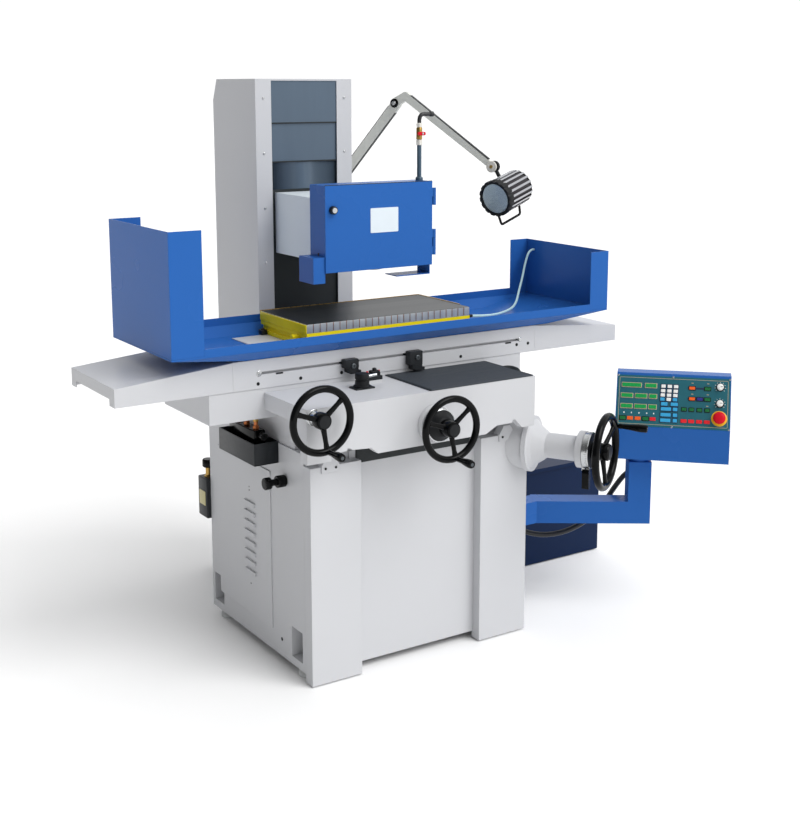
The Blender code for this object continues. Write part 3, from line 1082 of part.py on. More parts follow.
CONTROLS = (("feed_knob", 0.254, 0.79, 0.011), ("speed_knob", 0.254, 0.49, 0.011),
            ("stop_button", 0.253, 0.22, 0.020))


def panel_place(s, rise):
    """A place on the sloping panel: s along the box, rise from 0 at the bend to 1 at the top."""
    out = CONSOLE_HALF * (1 - rise)
    place = ARM_END + s * CONSOLE_ALONG + out * CONSOLE_OUT
    place = Vector((place.x, place.y, CONSOLE_BEND + rise * (CONSOLE_TOP - CONSOLE_BEND)))
    slope = CONSOLE_TOP - CONSOLE_BEND
    normal = (slope * CONSOLE_OUT + CONSOLE_HALF * UP).normalized()
    return place, normal


def controls():
    made = {}
    for name, s, rise, radius in CONTROLS:
        place, normal = panel_place(s, rise)
        if name == "stop_button":
            profile = [(0, 0.024), (0.012, 0.0235), (0.018, 0.021), (radius, 0.016), (radius, 0.011), (0.0062, 0.010),
                       (0.0062, -0.010), (0, -0.010)]
        else:
            profile = [(0, 0.014), (radius * 0.85, 0.014), (radius, 0.012), (radius, 0.0006), (0.0060, 0.0006),
                       (0.0060, -0.012), (0, -0.012)]
        piece = turned(name, profile, place, normal, 20)
        made[name] = (place, normal, finish(piece, RED if name == "stop_button" else STEEL))
    return made


BACKWARD = -ARM_HEADING.cross(UP)  # level, square to the arm, towards the machine
CONDUIT_END = ARM_END + BACKWARD * (ARM_SECTION / 2 + 0.030) + 0.450 * UP
CONDUIT = [(BASE_RIGHT + GAP, 0.245, 0.400), (0.415, 0.245, 0.398), (0.447, 0.242, 0.375), (0.470, 0.236, 0.330),
           (0.500, 0.226, 0.280), (0.545, 0.208, 0.243), (0.600, 0.180, 0.228), (0.655, 0.150, 0.233),
           (0.705, 0.122, 0.255), (0.750, 0.098, 0.290), (0.790, 0.080, 0.335), (0.822, 0.068, 0.385),
           (0.852, 0.050, 0.432), tuple(CONDUIT_END + 0.020 * BACKWARD), tuple(CONDUIT_END + 0.010 * BACKWARD),
           tuple(CONDUIT_END)]


def conduit():
    return finish(tube("console_conduit", smooth_route(CONDUIT, 44), 0.0095), RUBBER)


def side_knob():
    """The flow control on the base's left wall."""
    profile = [(0, 0.072), (0.015, 0.072), (0.018, 0.069), (0.018, 0.050), (0.010, 0.046), (0.010, 0.034),
               (0.018, 0.030), (0.018, 0.002), (0.014, 0.0), (0, 0.0)]
    made = turned("side_knob", profile, (BASE_LEFT - GAP, 0.150, 0.596), -RIGHT, 24)
    return finish(made, BLACK)


# ---- assembly -----------------------------------------------------------------------
base_casting()
feet()
front_cover()
access_door()
column()
way_plate("way_cover_top", 0, 1.619, COLUMN_TOP - COLUMN_SHEET - GAP - 0.002, SLATE)
carry(cover_slide, way_plate("way_cover_middle", 1, 1.492, 1.676, SLATE))
coolant_tank()
rear_valve_block()
lube_unit()
elevating_housing()
carry(pivot("side_knob_turn", (BASE_LEFT, 0.150, 0.596)), side_knob())

carry(saddle_slide, saddle(), *apron())
cylinder, ram = table_cylinder()
carry(saddle_slide, cylinder)
carry(pivot("reversing_lever_turn", LEVER, saddle_slide), reversing_lever())
handwheels()

carry(table_slide, *table(), ram, splash_tray(),
      splash_guard("guard_left", TRAY_LEFT, LEFT_FLANGE, LEFT_GUARD_TOP),
      splash_guard("guard_right", TRAY_RIGHT, -RIGHT_FLANGE, RIGHT_GUARD_TOP), *chuck(), chuck_cable())
for dog_name, dog_x, dog_low in (("trip_dog_left", -0.166, 0.888), ("trip_dog_right", 0.065, 0.871)):
    carry(pivot(dog_name + "_slide", (dog_x, TABLE_FRONT, SLOT_Z), table_slide), trip_dog(dog_name, dog_x, dog_low))

carry(head_slide, *wheelhead(), wheel_guard(), coolant_pipe())
carry(spindle_spin, *spindle())
door_swing = pivot("guard_door_swing", (DOOR_HINGE.x, DOOR_HINGE.y, WHEEL_Z), head_slide)
carry(door_swing, guard_door())
carry(pivot("door_latch_turn", LATCH, door_swing), door_latch())
carry(pivot("tap_turn", (PIPE.x, PIPE.y, TAP_Z), head_slide), tap_lever())
screw_top, screw_bottom = 1.640, REAR_TOP + GAP + 0.030 + GAP
carry(screw_spin, finish(rod("elevating_screw", (0, SCREW_Y, screw_bottom), (0, SCREW_Y, screw_top), SCREW_RADIUS),
                         STEEL))

arm_swing = pivot("console_swing", ARM_PIVOT)
carry(arm_swing, console_arm())
box_turn = pivot("console_turn", (ARM_END.x, ARM_END.y, POST_HIGH), arm_swing)
carry(box_turn, console_box())
for control_name, (control_place, _normal, control_piece) in controls().items():
    carry(pivot(control_name + "_turn", control_place, box_turn), control_piece)
conduit()
lamp()

console_corner = (CONSOLE_RIGHT + CONSOLE_HALF) * math.sqrt(0.5)
machine.location.x = (TABLE_END - ARM_END.x - console_corner) / 2
machine.location.y = (console_corner - ARM_END.y - REAR_BACK) / 2
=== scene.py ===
"""Finishes, fittings, cords and stage for a column-type surface grinder."""

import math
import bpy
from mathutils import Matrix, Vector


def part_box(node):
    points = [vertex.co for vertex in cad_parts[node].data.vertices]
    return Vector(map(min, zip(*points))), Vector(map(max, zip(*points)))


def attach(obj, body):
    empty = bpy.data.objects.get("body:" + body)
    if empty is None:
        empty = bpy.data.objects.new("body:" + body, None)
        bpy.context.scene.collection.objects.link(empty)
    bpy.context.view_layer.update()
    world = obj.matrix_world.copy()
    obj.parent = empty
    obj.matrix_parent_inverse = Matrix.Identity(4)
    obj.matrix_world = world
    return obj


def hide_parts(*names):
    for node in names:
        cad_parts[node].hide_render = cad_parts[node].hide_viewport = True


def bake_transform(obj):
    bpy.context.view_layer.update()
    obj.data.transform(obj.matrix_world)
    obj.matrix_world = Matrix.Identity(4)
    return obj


bl_info = {
    "name": "Surface Grinder Dressing",
    "version": (1, 0, 0),
    "blender": (4, 5, 0),
    "location": "View3D > Sidebar > Grinder",
    "description": "Builds the finishes, fittings, cords and stage of a surface grinder around its frame",
    "category": "Object",
}

import bmesh
import bpy
from mathutils import Matrix, Vector

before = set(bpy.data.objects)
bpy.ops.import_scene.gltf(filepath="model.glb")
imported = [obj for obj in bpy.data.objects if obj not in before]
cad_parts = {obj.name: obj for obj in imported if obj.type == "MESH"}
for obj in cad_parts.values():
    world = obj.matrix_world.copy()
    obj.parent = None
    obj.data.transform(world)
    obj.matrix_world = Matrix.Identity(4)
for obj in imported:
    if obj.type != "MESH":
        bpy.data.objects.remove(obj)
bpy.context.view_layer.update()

# The machine's own axes start at the wheel's middle, the front face of the base and the floor.
TO_CENTRE = Vector((-0.09617744, -0.39293822, 0.0))
RIGHT, BACK, UP = Vector((1, 0, 0)), Vector((0, 1, 0)), Vector((0, 0, 1))
FRONT, LEFT, DOWN = -BACK, -RIGHT, -UP
GAP = 0.0003        # clear space between a piece and the part that it sits on
POINT = 1e-5        # the radius of a turned form where it closes to a point
WELD = 2e-5         # points closer than this are one
SHARP = 35.0        # edges that turn further than this stay sharp, in degrees


# ---- colours and nodes ---------------------------------------------------------------
DETAIL = 3.0        # finer layers in every noise


def linear(hex_colour):
    """An sRGB hex colour as the linear values that shaders take."""
    channels = [int(hex_colour[k:k + 2], 16) / 255 for k in (1, 3, 5)]
    return tuple(c / 12.92 if c <= 0.04045 else ((c + 0.055) / 1.055) ** 2.4 for c in channels)


def colour_property(name, description, hex_colour):
    """A colour that a user may change."""
    return bpy.props.FloatVectorProperty(name=name, description=description, default=linear(hex_colour),
                                         subtype="COLOR", size=3, min=0.0, max=1.0)


def length_property(name, description, metres):
    """A length that a user may change."""
    return bpy.props.FloatProperty(name=name, description=description, default=metres,
                                   unit="LENGTH", subtype="DISTANCE", min=0.0)


class GrinderColours(bpy.types.PropertyGroup):
    white: colour_property("White enamel", "Castings and sheet covers", "#C8C9CC")
    grey: colour_property("Grey enamel", "Wheelhead", "#E2EAF0")
    blue: colour_property("Blue enamel", "Guards, trough and console", "#2A61AC")
    navy: colour_property("Navy enamel", "Coolant tank", "#142544")
    yellow: colour_property("Yellow enamel", "Chuck body", "#FBE426")
    slate: colour_property("Slate covers", "Telescopic way covers", "#566676")
    dark: colour_property("Phenolic", "Handwheels and knobs", "#060708")
    panel: colour_property("Panel overlay", "Printed console panel", "#155F6C")
    red: colour_property("Red enamel", "Tap lever and stop button", "#D0182A")
    cable: colour_property("Cable jacket", "Chuck cable", "#B9D9DC")


class GrinderSizes(bpy.types.PropertyGroup):
    edge: length_property("Edge radius", "Softening of the enamelled edges", 0.0016)
    peel: length_property("Orange peel", "Spacing of the enamel's ripple", 0.006)
    pole: length_property("Pole pitch", "Pitch of the chuck's poles", 0.02308)
    conduit: length_property("Conduit radius", "Outer radius of the console's conduit", 0.0095)
    cable: length_property("Cable radius", "Outer radius of the chuck's cable", 0.0040)


class GrinderStage(bpy.types.PropertyGroup):
    sun: bpy.props.FloatProperty(name="Key light", description="Strength of the soft key light",
                                 default=1.62, min=0.0)
    sky: bpy.props.FloatProperty(name="Fill light", description="Strength of the room's fill",
                                 default=0.86, min=0.0)
    floor: colour_property("Floor", "Seamless floor", "#FFFFFF")


def colours():
    """The colours that the user set."""
    return bpy.context.scene.grinder_colours


def sizes():
    """The sizes that the user set."""
    return bpy.context.scene.grinder_sizes


def add_node(tree, kind, settings=(), links=()):
    """Adds a node, sets its properties and sockets, and links sockets into it."""
    node = tree.nodes.new(kind)
    for key, value in dict(settings).items():
        if isinstance(key, str) and hasattr(node, key):
            setattr(node, key, value)
        else:
            node.inputs[key].default_value = value
    for key, socket in dict(links).items():
        tree.links.new(socket, node.inputs[key])
    return node


def rgba(colour):
    """A colour with full opacity, as a node's socket takes it."""
    return (*colour[:3], 1.0)


def shade(colour, factor):
    """A colour made darker or lighter."""
    return tuple(min(1.0, c * factor) for c in colour[:3])


def surface(name, colour, roughness, metallic=0.0, mottle=(0.05, 0.06), ripple=(0.006, 0.00004),
            rough_spread=0.06, stretch=(1.0, 1.0, 1.0), edge=0.0, ior=None, clear=0.0):
    """A finish with uneven colour, uneven gloss and a fine relief, all sized in metres.

    mottle is the size of the colour patches and how far they stray; ripple is the spacing and the depth of
    the relief; stretch squeezes both along an axis, and edge rounds the sharp edges to the eye.
    """
    made = bpy.data.materials.new(name)
    made.use_nodes = True
    tree = made.node_tree
    shader = tree.nodes["Principled BSDF"]
    where = add_node(tree, "ShaderNodeTexCoord")
    laid = add_node(tree, "ShaderNodeMapping", {"Scale": stretch}, {"Vector": where.outputs["Object"]})
    patches = add_node(tree, "ShaderNodeTexNoise", {"Scale": 1.0 / mottle[0], "Detail": DETAIL},
                       {"Vector": laid.outputs["Vector"]})
    mixed = add_node(tree, "ShaderNodeMix",
                     {"data_type": "RGBA", 6: rgba(shade(colour, 1 - mottle[1])),
                      7: rgba(shade(colour, 1 + mottle[1]))}, {0: patches.outputs["Fac"]})
    gloss = add_node(tree, "ShaderNodeMapRange",
                     {"To Min": max(0.02, roughness - rough_spread),
                      "To Max": min(1.0, roughness + rough_spread)}, {"Value": patches.outputs["Fac"]})
    grain = add_node(tree, "ShaderNodeTexNoise", {"Scale": 1.0 / ripple[0], "Detail": DETAIL},
                     {"Vector": laid.outputs["Vector"]})
    relief = add_node(tree, "ShaderNodeBump", {"Strength": 1.0, "Distance": ripple[1]},
                      {"Height": grain.outputs["Fac"]})
    if edge:
        rounded = add_node(tree, "ShaderNodeBevel", {"samples": 4, "Radius": edge})
        tree.links.new(rounded.outputs["Normal"], relief.inputs["Normal"])
    tree.links.new(mixed.outputs[2], shader.inputs["Base Color"])
    tree.links.new(gloss.outputs["Result"], shader.inputs["Roughness"])
    tree.links.new(relief.outputs["Normal"], shader.inputs["Normal"])
    shader.inputs["Metallic"].default_value = metallic
    if ior:
        shader.inputs["IOR"].default_value = ior
    shader.inputs["Transmission Weight"].default_value = clear
    return made


def enamel(name, colour, roughness):
    """Sprayed two-pack enamel: an even gloss with a faint orange peel, and edges softened by the paint."""
    return surface(name, colour, roughness, mottle=(0.25, 0.012), ripple=(sizes().peel, 0.00004),
                   rough_spread=0.02, edge=sizes().edge, ior=1.18)


def moulded(name, hex_colour, roughness, patches=0.05):
    """A small moulded or printed part: even colour over a fine leathery relief, drawn 1.5 mm wide to show."""
    return surface(name, linear(hex_colour), roughness, mottle=(0.01, patches), ripple=(0.0015, 0.00003))


def finish(name):
    """The material of one real finish, made when it is first asked for."""
    c = colours()
    if name in bpy.data.materials:
        return bpy.data.materials[name]
    makers = {
        # White machine enamel on castings and sheet: clean, cool and glossy.
        "enamel_white": lambda: enamel(name, c.white, 0.30),
        # Pale grey enamel on the wheelhead: a little duller than the covers.
        "enamel_grey": lambda: enamel(name, c.grey, 0.34),
        # Blue enamel on folded sheet: strong colour, glossy.
        "enamel_blue": lambda: enamel(name, c.blue, 0.27),
        # Navy enamel on the coolant tank: dark, with a broad soft gloss.
        "enamel_navy": lambda: enamel(name, c.navy, 0.36),
        # Yellow enamel on the chuck's body: bright and glossy.
        "enamel_yellow": lambda: enamel(name, c.yellow, 0.32),
        # Red enamel on the tap's lever and the stop button: bright and glossy.
        "enamel_red": lambda: enamel(name, c.red, 0.28),
        # Warm grey enamel on the lamp's arms: satin.
        "enamel_lamp": lambda: enamel(name, linear("#DCDDD6"), 0.30),
        # Cast levelling pads under grey-white primer: dull and slightly rough.
        "iron_painted": lambda: surface(name, linear("#C9CBCB"), 0.5, 0.0, (0.01, 0.06), (0.003, 0.00012)),
        # Oiled spring steel, rolled and slid over daily: satin with long fine scratches.
        "steel_slate": lambda: surface(name, c.slate, 0.34, 0.35, (0.05, 0.10), (0.004, 0.00003), 0.10,
                                       (1.0, 1.0, 0.12), sizes().edge),
        # Rubber curtain: near black and dull, with a fine moulded grain.
        "rubber_curtain": lambda: surface(name, linear("#121A1D"), 0.62, 0.0, (0.03, 0.20), (0.003, 0.00012)),
        # Ribbed rubber mat: dull dark slate with a coarse grain.
        "rubber_mat": lambda: surface(name, linear("#353B42"), 0.60, 0.0, (0.02, 0.10), (0.0035, 0.00030), 0.10,
                                      (0.15, 1.0, 1.0)),
        # Polished phenolic moulding: deep black with a wet gloss.
        "phenolic_gloss": lambda: surface(name, c.dark, 0.15, 0.0, (0.02, 0.12), (0.008, 0.00003), 0.05, ior=1.22),
        # Moulded phenolic as it leaves the tool: dark grey and satin.
        "phenolic_matt": lambda: surface(name, linear("#111316"), 0.48, 0.0, (0.01, 0.10), (0.0012, 0.00006),
                                         ior=1.33),
        # Black oxide on steel: soft blue-black sheen.
        "steel_blackened": lambda: surface(name, linear("#171B20"), 0.42, 0.3, (0.012, 0.15), (0.002, 0.00005)),
        # Turned bright steel: fine tool marks, drawn 1.2 mm apart so that they show.
        "steel_turned": lambda: surface(name, linear("#C3C5C6"), 0.24, 1.0, (0.01, 0.08), (0.0012, 0.00003), 0.08),
        # Surface-ground steel: dark satin, long straight grinding marks drawn 2 mm apart so that they show.
        "steel_ground": lambda: surface(name, linear("#33373A"), 0.40, 0.85, (0.09, 0.16), (0.002, 0.00003), 0.10,
                                        (0.03, 1.0, 1.0)),
        # Brushed pole steel on the chuck's sides: upright brush marks, drawn 1.5 mm apart so that they show.
        "steel_brushed": lambda: surface(name, linear("#C4C8CA"), 0.36, 0.6, (0.010, 0.14), (0.0015, 0.00005),
                                         0.10, (1.0, 1.0, 0.06)),
        # Machined copper between the poles and on the oil fittings: warm, satin and slightly tarnished.
        "copper": lambda: surface(name, linear("#A8653F"), 0.34, 1.0, (0.006, 0.12), (0.001, 0.00003)),
        # Turned brass: yellow and brighter than the copper, with a light tarnish.
        "brass": lambda: surface(name, linear("#AD8D50"), 0.28, 1.0, (0.008, 0.10), (0.001, 0.00003)),
        # Anodised aluminium fins: bright, crisp and slightly streaked along the extrusion.
        "aluminium_anodised": lambda: surface(name, linear("#B9BBC0"), 0.22, 1.0, (0.02, 0.06),
                                              (0.0015, 0.00003), 0.06),
        # The same aluminium as a darker copy, for painted shade down between the fins; the drum's back has it too:
        # dark and dull.
        "aluminium_shadow": lambda: surface(name, linear("#2B272D"), 0.35, 0.7, (0.02, 0.10), (0.0015, 0.00003)),
        # Cast iron, machined and oiled: dark, with open grain.
        "iron_machined": lambda: surface(name, linear("#575C60"), 0.40, 0.8, (0.008, 0.12), (0.0015, 0.00008)),
        # Vitrified aluminium oxide: off-white, very rough, a grit drawn 1.5 mm wide.
        "abrasive": lambda: surface(name, linear("#D9D2C8"), 0.95, 0.0, (0.0015, 0.25), (0.0015, 0.00050)),
        # PVC cable jacket: pale, soft and smooth.
        "pvc_pale": lambda: surface(name, c.cable, 0.38, 0.0, (0.02, 0.04), (0.004, 0.00004)),
        # Corrugated PVC conduit and hose: near black, with a soft gloss.
        "pvc_grey": lambda: surface(name, linear("#1C1E21"), 0.36, 0.0, (0.03, 0.08), (0.003, 0.00006)),
        # Painted steel pipe: blue-grey and fairly glossy.
        "pipe_blue_grey": lambda: surface(name, linear("#3F5566"), 0.30, 0.2, (0.02, 0.10), (0.003, 0.00004)),
        # Moulded nylon nuts and washers: creamy white and waxy.
        "nylon_white": lambda: surface(name, linear("#DAD8D0"), 0.35, 0.0, (0.01, 0.05), (0.002, 0.00004)),
        # Screen-printed polyester overlay: even colour, fine leathery texture, satin.
        "overlay_teal": lambda: surface(name, c.panel, 0.36, 0.0, (0.02, 0.05), (0.0015, 0.00005)),
        # Ink on the overlay: a beige border, and navy bands and key surrounds, both satin.
        "overlay_line": lambda: moulded(name, "#B9A98C", 0.40, 0.04),
        "overlay_navy": lambda: moulded(name, "#10294A", 0.40),
        # Embossed membrane keys: printed colours under a glossier film than the overlay's.
        "key_white": lambda: moulded(name, "#F1F2EE", 0.30, 0.03),
        "key_blue": lambda: moulded(name, "#35A4D6", 0.32),
        "key_green": lambda: moulded(name, "#0C6A35", 0.28, 0.10),
        "key_orange": lambda: moulded(name, "#F0611E", 0.28, 0.06),
        "key_red": lambda: moulded(name, "#E21C27", 0.28, 0.06),
        "key_indigo": lambda: moulded(name, "#2A2F86", 0.28, 0.06),
        # Green display filter over dark digits: glossy acrylic.
        "display_green": lambda: surface(name, linear("#129A4A"), 0.14, 0.0, (0.008, 0.10), (0.004, 0.00002)),
        # Moulded yellow acrylic behind the stop button: bright, satin.
        "acrylic_yellow": lambda: moulded(name, "#F3B61C", 0.30, 0.04),
        # Background paper: matt and pure white.
        "seamless_paper": lambda: surface(name, bpy.context.scene.grinder_stage.floor, 0.9, 0.0, (0.08, 0.004),
                                          (0.01, 0.00002), ior=1.1),
        # Hammered bright aluminium behind the lamp's glass: it scatters the light in soft dimples.
        "reflector": lambda: surface(name, linear("#E6ECEE"), 0.20, 0.5, (0.010, 0.06), (0.006, 0.00020), 0.06),
        # Toughened lamp glass: clear, with a faint pressed ripple.
        "glass_toughened": lambda: surface(name, linear("#F4FAFB"), 0.04, 0.0, (0.02, 0.01), (0.011, 0.00030),
                                           0.01, clear=1.0),
        # Bare anodised label plates: one pale, one tan, both satin.
        "plate_plain": lambda: surface(name, linear("#D9E3EA"), 0.32, 0.0, (0.03, 0.03), (0.002, 0.00003)),
        "plate_tan": lambda: surface(name, linear("#C9C08C"), 0.40, 0.0, (0.01, 0.05), (0.002, 0.00003)),
    }
    return makers[name]()


# ---- places and shapes ---------------------------------------------------------------
def at(x, y, z):
    """A place on the machine, in the frame's metres."""
    return Vector((x, y, z)) + TO_CENTRE


def stand(origin, normal, along=None):
    """Axes that stand on a place: Z along normal and X along the direction asked for."""
    z = Vector(normal).normalized()
    if along is None:
        along = UP if abs(z.z) < 0.9 else RIGHT
    x = (Vector(along) - z * z.dot(Vector(along))).normalized()
    axes = Matrix((x, z.cross(x), z)).transposed().to_4x4()
    axes.translation = origin
    return axes


def circle(radius, height, sides):
    """A ring of points round the Z axis."""
    turns = [2 * math.pi * k / sides for k in range(sides)]
    return [Vector((radius * math.cos(t), radius * math.sin(t), height)) for t in turns]


def knurled(profile, sides, cut):
    """Rings of a knurled knob: every second point is cut back by a part of the radius."""
    return [[Vector((radius * (1 - cut * (k % 2)) * math.cos(2 * math.pi * k / sides),
                     radius * (1 - cut * (k % 2)) * math.sin(2 * math.pi * k / sides), height))
             for k in range(sides)] for radius, height in profile]


def rounded(width, depth, corner, height, steps=4):
    """A rectangle with round corners, centred on the axes."""
    corner = min(corner, width / 2 - 1e-6, depth / 2 - 1e-6)
    ring = []
    for quarter, (sx, sy) in enumerate(((1, 1), (-1, 1), (-1, -1), (1, -1))):
        middle = Vector((sx * (width / 2 - corner), sy * (depth / 2 - corner), height))
        for k in range(steps + 1):
            turn = math.radians(90 * quarter + 90 * k / steps)
            ring.append(middle + corner * Vector((math.cos(turn), math.sin(turn), 0)))
    return ring


class Shape:
    """Gathers the surfaces of one piece, each with its finish."""

    def __init__(self):
        self.mesh = bmesh.new()
        self.finishes = []

    def index(self, name):
        """The number of a finish among those that the piece has."""
        if name not in self.finishes:
            self.finishes.append(name)
        return self.finishes.index(name)

    def loft(self, axes, rings, name, caps=(True, True), closed=False):
        """Joins rings of equal count, in order, and closes the ends."""
        index = self.index(name)
        rows = [[self.mesh.verts.new(axes @ Vector(p)) for p in ring] for ring in rings]
        count = len(rows[0])
        pairs = list(zip(rows, rows[1:] + rows[:1])) if closed else list(zip(rows, rows[1:]))
        for a, b in pairs:
            for i in range(count):
                j = (i + 1) % count
                self.mesh.faces.new((a[i], a[j], b[j], b[i])).material_index = index
        if not closed:
            for use, row in ((caps[0], rows[0][::-1]), (caps[1], rows[-1])):
                if use:
                    self.mesh.faces.new(row).material_index = index
        return self

    def turned(self, axes, profile, name, sides=32):
        """A turned form: profile is (radius, height) from end to end."""
        rings = [circle(max(r, POINT), h, sides) for r, h in profile]
        return self.loft(axes, rings, name, (profile[0][0] > POINT, profile[-1][0] > POINT))

    def slab(self, axes, width, depth, height, name, corner=0.001, edge=0.0006, low=0.0):
        """A block with round corners and a softened top edge, standing on the axes' plane."""
        rings = [rounded(width, depth, corner, low), rounded(width, depth, corner, height - edge),
                 rounded(width - 2 * edge, depth - 2 * edge, max(corner - edge, 1e-4), height)]
        return self.loft(axes, rings, name)

    def block(self, low, high, name, edge=0.0008):
        """A softened block between two opposite corners, in the machine's axes."""
        low, high = Vector(low), Vector(high)
        size = high - low
        middle = (low + high) / 2
        rings = [rounded(size.x - 2 * edge, size.y - 2 * edge, edge, 0, 2), rounded(size.x, size.y, edge, edge, 2),
                 rounded(size.x, size.y, edge, size.z - edge, 2),
                 rounded(size.x - 2 * edge, size.y - 2 * edge, edge, size.z, 2)]
        return self.loft(stand(at(middle.x, middle.y, low.z), UP), rings, name)

    def prism(self, axes, outline, height, name):
        """A plate of any outline standing on the axes' plane."""
        rings = [[Vector((x, y, 0)) for x, y in outline], [Vector((x, y, height)) for x, y in outline]]
        return self.loft(axes, rings, name)

    def rod(self, start, end, radius, name, sides=20, far=None):
        """A straight rod between two places; far is the radius at its end if it tapers."""
        start, end = Vector(start), Vector(end)
        length = (end - start).length
        far = radius if far is None else far
        return self.turned(stand(start, end - start), [(radius, 0), (far, length)], name, sides)

    def tube(self, points, radius, name, sides=12, ripple=0.0):
        """A round tube along a line of points; ripple makes every second ring smaller."""
        points = [Vector(p) for p in points]
        across = None
        rings = []
        for k, point in enumerate(points):
            ahead = (points[min(k + 1, len(points) - 1)] - points[max(k - 1, 0)]).normalized()
            if across is None:
                across = ahead.orthogonal().normalized()
            across = (across - ahead * ahead.dot(across)).normalized()
            other = ahead.cross(across)
            r = radius - (ripple if k % 2 else 0.0)
            rings.append([point + r * (math.cos(t) * across + math.sin(t) * other)
                          for t in (2 * math.pi * i / sides for i in range(sides))])
        return self.loft(Matrix.Identity(4), rings, name)

    def screw(self, axes, radius, name="steel_turned", socket="phenolic_matt"):
        """A low socket-head screw."""
        self.turned(axes, [(radius, 0), (radius, radius * 0.45), (radius * 0.8, radius * 0.6),
                           (radius * 0.52, radius * 0.6), (radius * 0.5, radius * 0.25)], name, 16)
        return self.turned(axes, [(radius * 0.5, radius * 0.24), (0, radius * 0.24)], socket, 6)

    def make(self, name, body=None, slot=None, stands_for=()):
        """Finishes the piece and puts it on its body."""
        bmesh.ops.remove_doubles(self.mesh, verts=self.mesh.verts, dist=WELD)
        bmesh.ops.recalc_face_normals(self.mesh, faces=self.mesh.faces)
        data = bpy.data.meshes.new(name)
        self.mesh.to_mesh(data)
        self.mesh.free()
        for used in self.finishes:
            data.materials.append(finish(used))
        data.shade_smooth()
        data.set_sharp_from_angle(angle=math.radians(SHARP))
        made = bpy.data.objects.new(name, data)
        bpy.context.scene.collection.objects.link(made)
        if body:
            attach(made, body)
        if stands_for:
            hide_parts(*stands_for)
        return made


def smooth_line(points, count):
    """Points evenly spread in number along a Catmull-Rom line through the given ones."""
    knots = [Vector(p) for p in points]
    knots = [2 * knots[0] - knots[1], *knots, 2 * knots[-1] - knots[-2]]
    spans = len(points) - 1
    line = []
    for k in range(count):
        where = k * spans / (count - 1)
        i = min(int(where), spans - 1)
        t = where - i
        a, b, c, d = knots[i:i + 4]
        line.append(0.5 * (2 * b + (c - a) * t + (2 * a - 5 * b + 4 * c - d) * t * t
                           + (3 * b - a - 3 * c + d) * t ** 3))
    return line


def line_length(points):
    """The length along a line of points."""
    return sum((b - a).length for a, b in zip(points, points[1:]))


def resampled(points, step):
    """The same line with points a fixed step apart."""
    total = line_length(points)
    count = max(2, round(total / step))
    made, k, walked = [points[0]], 0, 0.0
    for n in range(1, count):
        goal = total * n / count
        while walked + (points[k + 1] - points[k]).length < goal:
            walked += (points[k + 1] - points[k]).length
            k += 1
        part = (goal - walked) / (points[k + 1] - points[k]).length
        made.append(points[k].lerp(points[k + 1], part))
    return [*made, points[-1]]


# ---- places that several pieces share ------------------------------------------------
TABLE_WHEEL, CROSS_WHEEL = at(-0.428, -0.122, 0.839), at(-0.026, -0.165, 0.767)
ELEVATING_TURN = math.radians(32.0)
ELEVATING_AXIS = Vector((math.sin(ELEVATING_TURN), -math.cos(ELEVATING_TURN), 0))
ELEVATING_SIDE = Vector((math.cos(ELEVATING_TURN), math.sin(ELEVATING_TURN), 0))
ELEVATING_FOOT = at(0.395, 0.0, 0.625)
ELEVATING_REACH, HOUSING_REACH = 0.2487, 0.1853
ELEVATING_WHEEL = ELEVATING_FOOT + ELEVATING_REACH * ELEVATING_AXIS
ARM_TURN, ARM_LENGTH = math.radians(34), 0.3455
ARM_HEADING = Vector((math.cos(ARM_TURN), -math.sin(ARM_TURN), 0))
ARM_END = at(0.550, 0.160, 0) + ARM_LENGTH * ARM_HEADING
BOX_ALONG = Vector((math.sqrt(0.5), -math.sqrt(0.5), 0))
BOX_OUT = Vector((-math.sqrt(0.5), -math.sqrt(0.5), 0))
CONDUIT_OUT = -ARM_HEADING.cross(UP)
LAMP_SIDE = Vector((0.9011, 0.4335, 0)).normalized()
LAMP_HEADING = Vector((0.4335, -0.9011, 0))
LAMP_AIM = Vector((-0.921, -0.311, -0.236)).normalized()
LAMP_CENTRE = at(0.522, 0.300, 1.393)
LAMP_HALF, LAMP_RADIUS = 0.075, 0.061
LAMP_SHOULDER, LAMP_ELBOW = at(0.212, 0.920, 1.375), at(0.3263, 0.6780, 1.6813)
LAMP_TILT = at(0.4896, 0.3380, 1.4765)
SADDLE_LEVER, SWITCH = at(-0.180, 0.075, 0.862), at(-0.110, 0.125, 0.862)
PIPE = at(0.176, 0.306, 0)
TAP_Z = 1.592
# The console's sloping face: its foot's height, how far it leans back and rises, and the panel on it.
FACE_FOOT, FACE_LEAN, FACE_RISE = 0.642, 0.080, 0.164
PANEL_WIDE, PANEL_HIGH, PANEL_THICK = 0.368, 0.173, 0.0012
